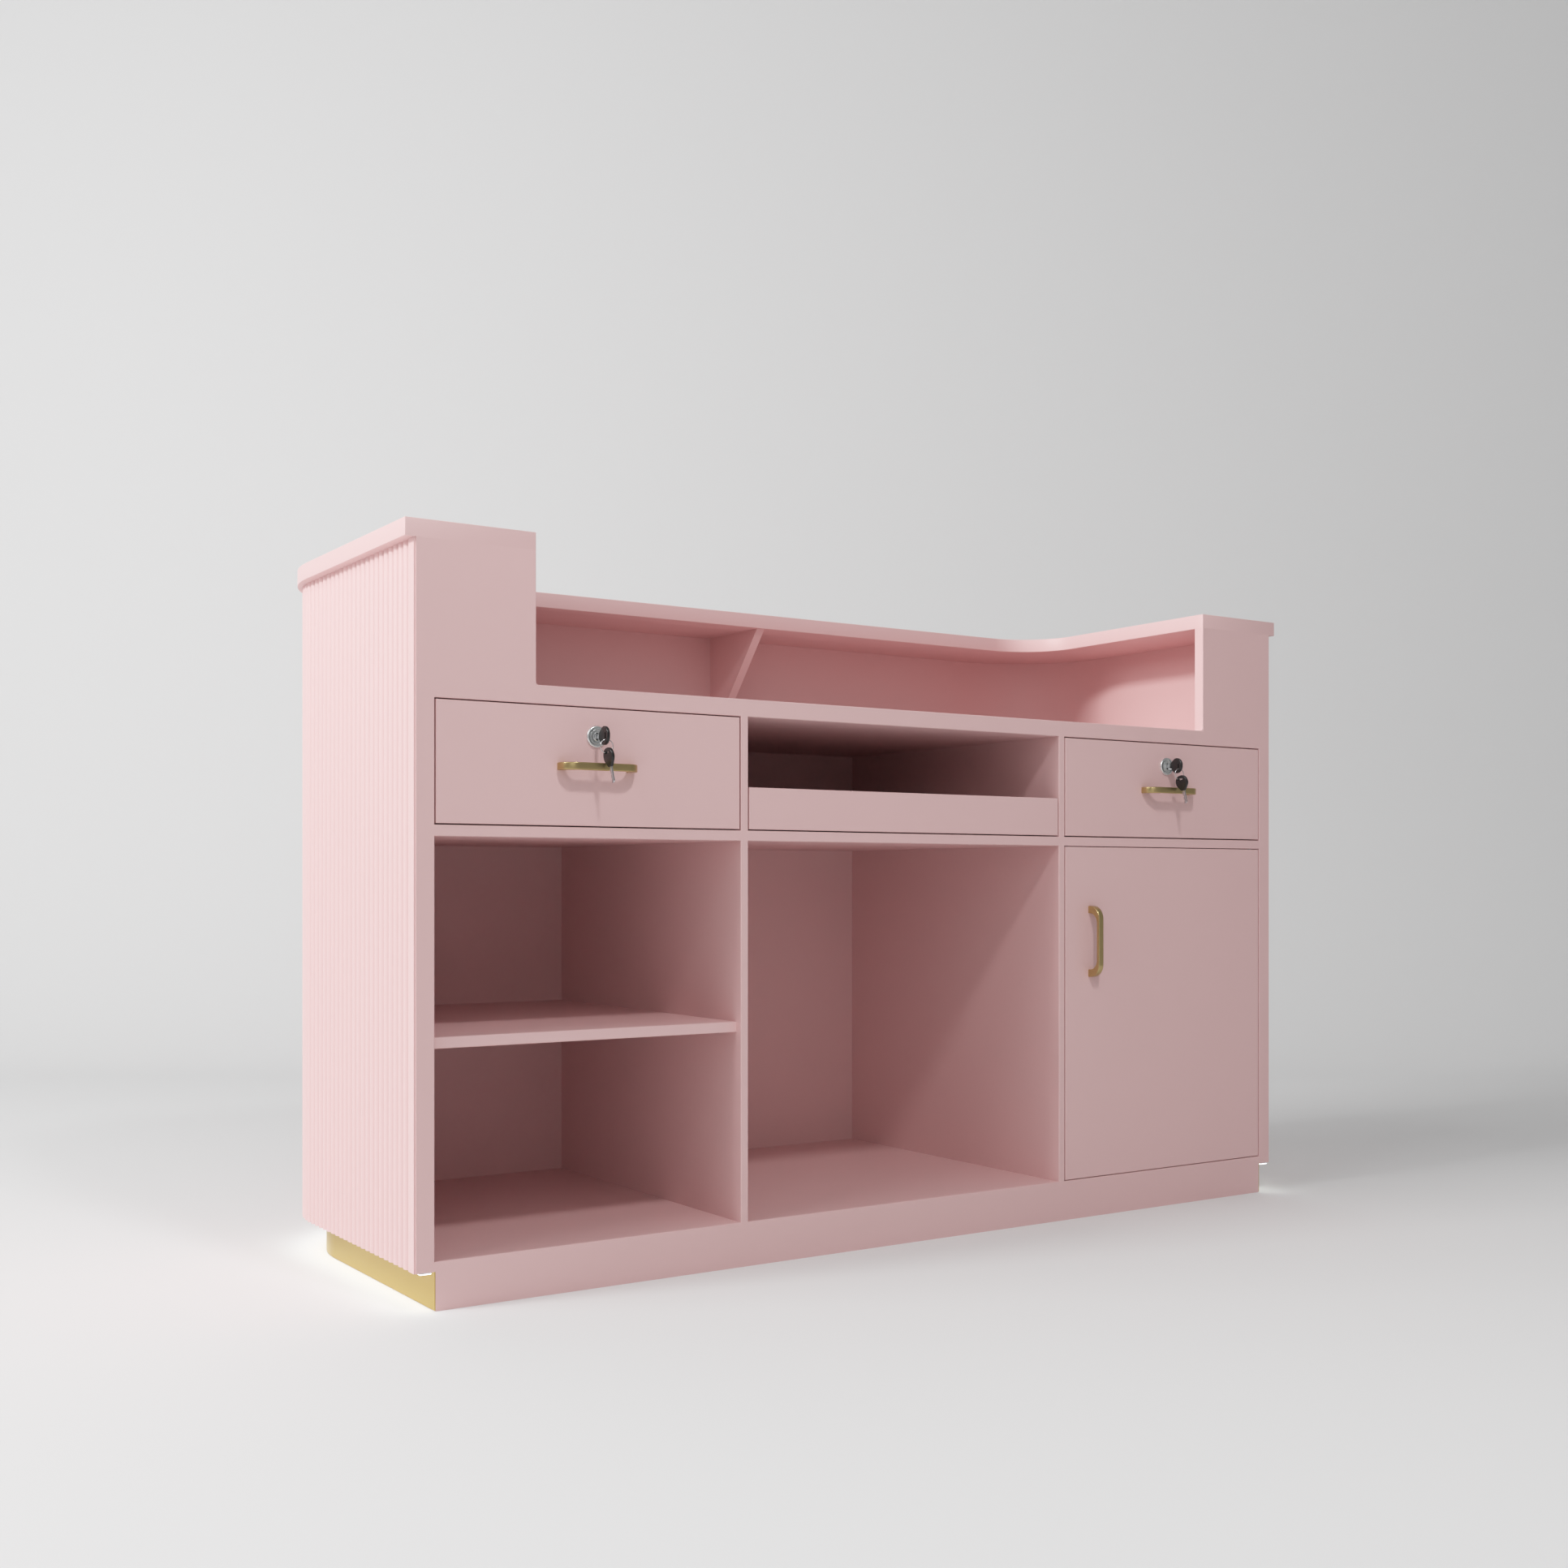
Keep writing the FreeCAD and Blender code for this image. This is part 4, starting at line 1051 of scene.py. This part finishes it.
@dataclass
class Keys:
    """The key in a lock, the wire ring, and the spare key that hangs from it."""

    side: Side
    lock: Vector
    head_half: tuple[float, float] = (0.0122, 0.0126)
    head_round: float = 0.0114
    head_thick: float = 0.0044
    edge: float = 0.0012
    nose: tuple[float, float] = (0.0134, 0.0040)
    cheek: float = 0.0031
    slot_at: float = -0.006
    slot_half: tuple[float, float] = (0.0013, 0.0054)
    hole: tuple[float, float] = (0.006, 0.0046)
    blade: tuple[float, float] = (0.0020, 0.0060)
    blade_length: float = 0.0215
    head_out: float = 0.024
    ring_radius: float = 0.0090
    wire: float = 0.0006
    seat_gap: float = 0.0001
    ring_turn: float = math.radians(-5.5)
    tilt: float = math.radians(8.5)
    sway: float = math.radians(6.8)

    def build(self) -> None:
        """Make both keys and the ring."""
        inserted = Matrix.Translation(self.lock + Vector((0, -self.head_out, 0))) @ self.axes(
            (0, 1, 0), (0, 0, 1), (1, 0, 0))
        self.key("key", inserted, f"{self.side.value}_lock", f"{self.side.value}_key")
        self.ring()
        self.key("spare", self.spare_place(), f"{self.side.value}_key_ring", f"{self.side.value}_spare_key")

    @staticmethod
    def axes(x: Corner, y: Corner, z: Corner) -> Matrix:
        """The turn that takes the three axes to these directions."""
        return Matrix((x, y, z)).transposed().to_4x4()

    @property
    def bow(self) -> float:
        """How far the round wire falls away across half a key head, with the gap that it keeps."""
        half = self.head_thick / 2
        return self.ring_radius - math.sqrt(self.ring_radius ** 2 - half ** 2) + self.seat_gap

    def ring_top(self) -> Vector:
        """Where the wire hangs in the inserted key's slot: on the pivot that the ring swings about."""
        name = f"{self.side.value}_key_swing"
        return next(Vector(joint["pos_m"]) for joint in frame["joints"] if joint["name"] == name)

    @property
    def slot_middle(self) -> float:
        """Middle of the slot, set so that its lower end lies just below the wire on its pivot."""
        return self.ring_top().z - self.lock.z - self.wire - self.bow + self.slot_half[1]

    def spare_place(self) -> Matrix:
        """Where the spare key hangs: blade down, leaning out past the pull."""
        down = self.axes((0, 0, -1), (0, -1, 0), (-1, 0, 0))
        turn = Matrix.Rotation(-self.sway, 4, "Y") @ Matrix.Rotation(-self.tilt, 4, "X") @ down
        lean = self.head_thick / 2 * math.tan(self.sway)
        room = max(0.0, self.slot_half[0] - self.wire - self.bow - lean)
        hang = self.ring_top() - Vector((0, 0, 2 * self.ring_radius + room))
        hole = turn @ Vector((-self.hole[0], -self.hole[1], 0))
        return Matrix.Translation(hang - hole) @ turn

    def ring(self) -> None:
        """Wire ring through both slots."""
        mesh = bmesh.new()
        rounds, facets = 64, 12
        rows = []
        for i in range(rounds):
            a = math.tau * i / rounds
            row = []
            for k in range(facets):
                b = math.tau * k / facets
                out = self.ring_radius + self.wire * math.cos(b)
                row.append(mesh.verts.new((out * math.cos(a), self.wire * math.sin(b), out * math.sin(a))))
            rows.append(row)
        for a, b in zip(rows, rows[1:] + rows[:1]):
            for k in range(facets):
                n = (k + 1) % facets
                mesh.faces.new((a[k], a[n], b[n], b[k]))
        bmesh.ops.recalc_face_normals(mesh, faces=mesh.faces)
        centre = self.ring_top() - Vector((0, 0, self.ring_radius))
        turn = Matrix.Translation(centre) @ Matrix.Rotation(self.ring_turn, 4, "Z")
        piece = shaped(f"{self.side.value}_wire_ring", mesh, turn)
        dress(piece, STEEL, f"{self.side.value}_key_ring", f"{self.side.value}_key_ring")

    def key(self, name: str, place: Matrix, body: str, node: str) -> None:
        """Make one key: a moulded head with its slot, and a milled steel blade.

        Args:
            name: Which key it is.
            place: Where it goes.
            body: The body that it rides on.
            node: The node that it stands for.
        """
        length, width = self.head_half
        nose, nose_half = self.nose
        outline = rounded_outline([
            (-length, -width, self.head_round), (self.cheek, -width, 0.010), (nose, -nose_half, 0.0015),
            (nose, nose_half, 0.0015), (self.cheek, width, 0.010), (-length, width, self.head_round)],
            math.radians(6))
        half = self.head_thick / 2
        mesh = prism(outline, -half, half)
        round_edges(mesh, self.edge, lambda a, b: abs(a.z - b.z) < FLAT, segments=4)
        head = shaped(f"{self.side.value}_{name}_head", mesh)
        slot_w, slot_h = self.slot_half
        slot = rounded_outline([
            (self.slot_at + x * slot_w, self.slot_middle + y * slot_h, slot_w * 0.99)
            for x, y in ((-1, -1), (1, -1), (1, 1), (-1, 1))], math.radians(15))
        carve(head, prism(slot, -2 * half, 2 * half))
        head.data.transform(place)
        dress(head, KEY_BLACK, body, node)
        self.milled_blade(f"{self.side.value}_{name}_blade", place, body)

    def milled_blade(self, name: str, place: Matrix, body: str) -> None:
        """Steel blade with a lengthwise groove on each face and cuts along one edge."""
        half_t, half_h = self.blade[0] / 2, self.blade[1] / 2
        start, tip = self.nose[0] - 0.004, self.nose[0] + self.blade_length
        outline = [Vector((start, half_h)), Vector((start, -half_h))]
        cuts = (0.0012, 0.0021, 0.0009, 0.0017, 0.0013)
        span = 0.0031
        x = self.nose[0] + 0.006
        outline.append(Vector((x - 0.001, -half_h)))
        for deep in cuts:
            outline += [Vector((x, -half_h + deep)), Vector((x + span * 0.45, -half_h + deep)),
                        Vector((x + span * 0.75, -half_h + 0.0003))]
            x += span
        outline += [Vector((tip - 0.0022, -half_h + 0.0004)), Vector((tip, -half_h + 0.0030)),
                    Vector((tip, half_h - 0.0022)), Vector((tip - 0.0024, half_h))]
        piece = shaped(name, prism(outline, -half_t, half_t))
        groove_half, deep = 0.0008, 0.0005
        rails = []
        for low, high in ((-half_t - 1e-3, -half_t + deep), (half_t - deep, half_t + 1e-3)):
            rails.append(prism(rectangle((self.nose[0] + 0.0005, -groove_half + 0.0009),
                                         (tip + 0.001, groove_half + 0.0009)), low, high))
        carve(piece, *rails)
        piece.data.transform(place)
        dress(piece, STEEL, body)


@dataclass
class Drawer:
    """One lockable drawer with its pull, lock, keys and runners."""

    side: Side

    def build(self) -> None:
        """Dress and make the drawer's pieces."""
        name = self.side.value
        for part, finish in (("drawer_front", LACQUER), ("drawer_box", BOX_LACQUER),
                             ("drawer_runners", ZINC), ("middle_runners", ZINC)):
            dress_node(f"{name}_{part}", finish)
        Pull(f"{name}_drawer_pull", f"{name}_pull_screws", f"{name}_drawer", True).build()
        CamLock(self.side).build()


@dataclass
class Tray:
    """Pull-out tray between the drawers."""

    def build(self) -> None:
        """Dress the tray's nodes."""
        for part, finish in (("front", LACQUER), ("box", BOX_LACQUER), ("runners", ZINC),
                             ("middle_runners", ZINC)):
            dress_node(f"tray_{part}", finish)


@dataclass
class Door:
    """Cupboard door on its two pivots, with its pull and catch plate."""

    def build(self) -> None:
        """Dress and make the door's pieces."""
        for part, finish in (("panel", LACQUER), ("pivot_pins", STEEL), ("catch_plate", STEEL),
                             ("bushes", WHITE_PLASTIC), ("catch", WHITE_PLASTIC)):
            dress_node(f"door_{part}", finish)
        Pull("door_pull", "door_pull_screws", Body.DOOR.value, False).build()


@dataclass
class Studio:
    """Pale sweep, soft lights and the camera."""

    azimuth: float = math.radians(33.695)
    eye: tuple[float, float, float] = (-1.6151, -2.3557, 0.5419)
    lens: float = 39.894
    rise: float = 0.0628
    sweep_start: float = 2.05
    sweep_radius: float = 0.9
    wall_top: float = 7.0
    floor_half: float = 14.0
    floor_near: float = -10.0
    floor_color: Color = (0.80, 0.80, 0.80)
    surroundings: float = 0.265
    white: float = 3.0
    shoulder: float = 0.3
    ceiling: float = 1.2
    lamps: tuple["Lamp", ...] = field(default_factory=lambda: (
        Lamp("key_light", (-0.534, -1.876, 2.49), (-0.1, 0.0, 0.45), 0.24, 0.24, 20.0),
        Lamp("left_light", (-5.0, 0.1, 3.2), (0.6, 0.0, 0.9), 1.3, 0.6, 168.0),
        Lamp("left_wash", (-5.5, 1.2, 2.7), (0.0, 0.2, 0.5), 2.2, 2.2, 99.0),
        Lamp("high_wash", (-5.5, -1.0, 6.0), (0.0, 0.2, 0.5), 3.0, 3.0, 98.0),
        Lamp("front_wash", (-2.6, -4.2, 2.6), (0.0, 0.0, 0.6), 3.0, 3.0, 25.0)))

    def build(self) -> None:
        """Make the stage, the lights and the camera."""
        self.sweep()
        self.camera()
        self.world()
        self.display()
        for lamp in self.lamps:
            lamp.build()

    def forward(self) -> Vector:
        """The level direction that the camera looks in."""
        return Vector((math.sin(self.azimuth), math.cos(self.azimuth), 0))

    def sweep(self) -> None:
        """Pale floor that curves up into a wall behind the counter."""
        ahead = self.forward()
        across = Vector((ahead.y, -ahead.x, 0))
        profile = [(self.floor_near, 0.0), (self.sweep_start, 0.0)]
        steps = 32
        for k in range(1, steps + 1):
            angle = math.pi / 2 * k / steps
            profile.append((self.sweep_start + self.sweep_radius * math.sin(angle),
                            self.sweep_radius * (1 - math.cos(angle))))
        profile.append((self.sweep_start + self.sweep_radius, self.wall_top))
        mesh = bmesh.new()
        rows = [[mesh.verts.new(ahead * d + across * s + Vector((0, 0, z)))
                 for s in (-self.floor_half, self.floor_half)] for d, z in profile]
        for a, b in zip(rows, rows[1:]):
            mesh.faces.new((a[0], a[1], b[1], b[0]))
        piece = shaped("sweep", mesh)
        paint = bpy.data.materials.new("pale_paper")
        paint.use_nodes = True
        shader = paint.node_tree.nodes["Principled BSDF"]
        shader.inputs["Base Color"].default_value = (*self.floor_color, 1.0)
        shader.inputs["Roughness"].default_value = 0.9
        shader.inputs["Specular IOR Level"].default_value = 0.1
        piece.data.materials.append(paint)
        piece.data.polygons.foreach_set("use_smooth", [True] * len(piece.data.polygons))

    def camera(self) -> None:
        """Level camera at the height of the drawers' undersides, shifted up."""
        data = bpy.data.cameras.new("camera")
        data.sensor_width = 36.0
        data.lens = self.lens
        data.shift_y = self.rise
        eye = bpy.data.objects.new("camera", data)
        eye.location = self.eye
        eye.rotation_euler = (math.pi / 2, 0, -self.azimuth)
        bpy.context.scene.collection.objects.link(eye)
        bpy.context.scene.camera = eye

    def world(self) -> None:
        """Even pale surroundings."""
        world = bpy.data.worlds.new("surroundings")
        world.use_nodes = True
        background = world.node_tree.nodes["Background"]
        background.inputs["Color"].default_value = (1.0, 1.0, 1.0, 1.0)
        background.inputs["Strength"].default_value = self.surroundings
        bpy.context.scene.world = world

    def shown(self, light: float) -> float:
        """How bright a light level is shown: as it is, then rolling off towards the ceiling."""
        room = self.ceiling - self.shoulder
        if light <= self.shoulder:
            return light
        return self.shoulder + room * (1 - math.exp((self.shoulder - light) / room))

    def display(self) -> None:
        """Show plain colours, with a soft shoulder that keeps lit lacquer from clipping."""
        view = bpy.context.scene.view_settings
        view.view_transform = "Standard"
        view.use_curve_mapping = True
        mapping = view.curve_mapping
        mapping.white_level = (self.white,) * 3
        curve = mapping.curves[3]
        levels = [0.15 * k for k in range(1, 8)] + [0.3 * k for k in range(4, 10)]
        for light in levels:
            curve.points.new(light / self.white, self.shown(light))
        curve.points[-1].location = (1.0, self.shown(self.white))
        mapping.update()


@dataclass(frozen=True)
class Lamp:
    """A rectangular soft light."""

    name: str
    place: Corner
    target: Corner
    width: float
    height: float
    power: float
    color: Color = (1.0, 1.0, 1.0)

    def build(self) -> None:
        """Hang the light and aim it."""
        data = bpy.data.lights.new(self.name, "AREA")
        data.shape = "RECTANGLE"
        data.size = self.width
        data.size_y = self.height
        data.energy = self.power
        data.color = self.color
        lamp = bpy.data.objects.new(self.name, data)
        lamp.location = self.place
        aim = Vector(self.target) - Vector(self.place)
        lamp.rotation_euler = aim.to_track_quat("-Z", "Y").to_euler()
        bpy.context.scene.collection.objects.link(lamp)


def main() -> None:
    """Build the counter's looks and the studio."""
    logging.basicConfig(level=logging.INFO, format="%(name)s: %(message)s")
    Studio().build()
    Carcass().build()
    dress_node("fixed_runners", ZINC)
    dress_node("lock_strikes", STEEL)
    for side in Side:
        Drawer(side).build()
    Tray().build()
    Door().build()


if __name__ == "__main__":
    main()
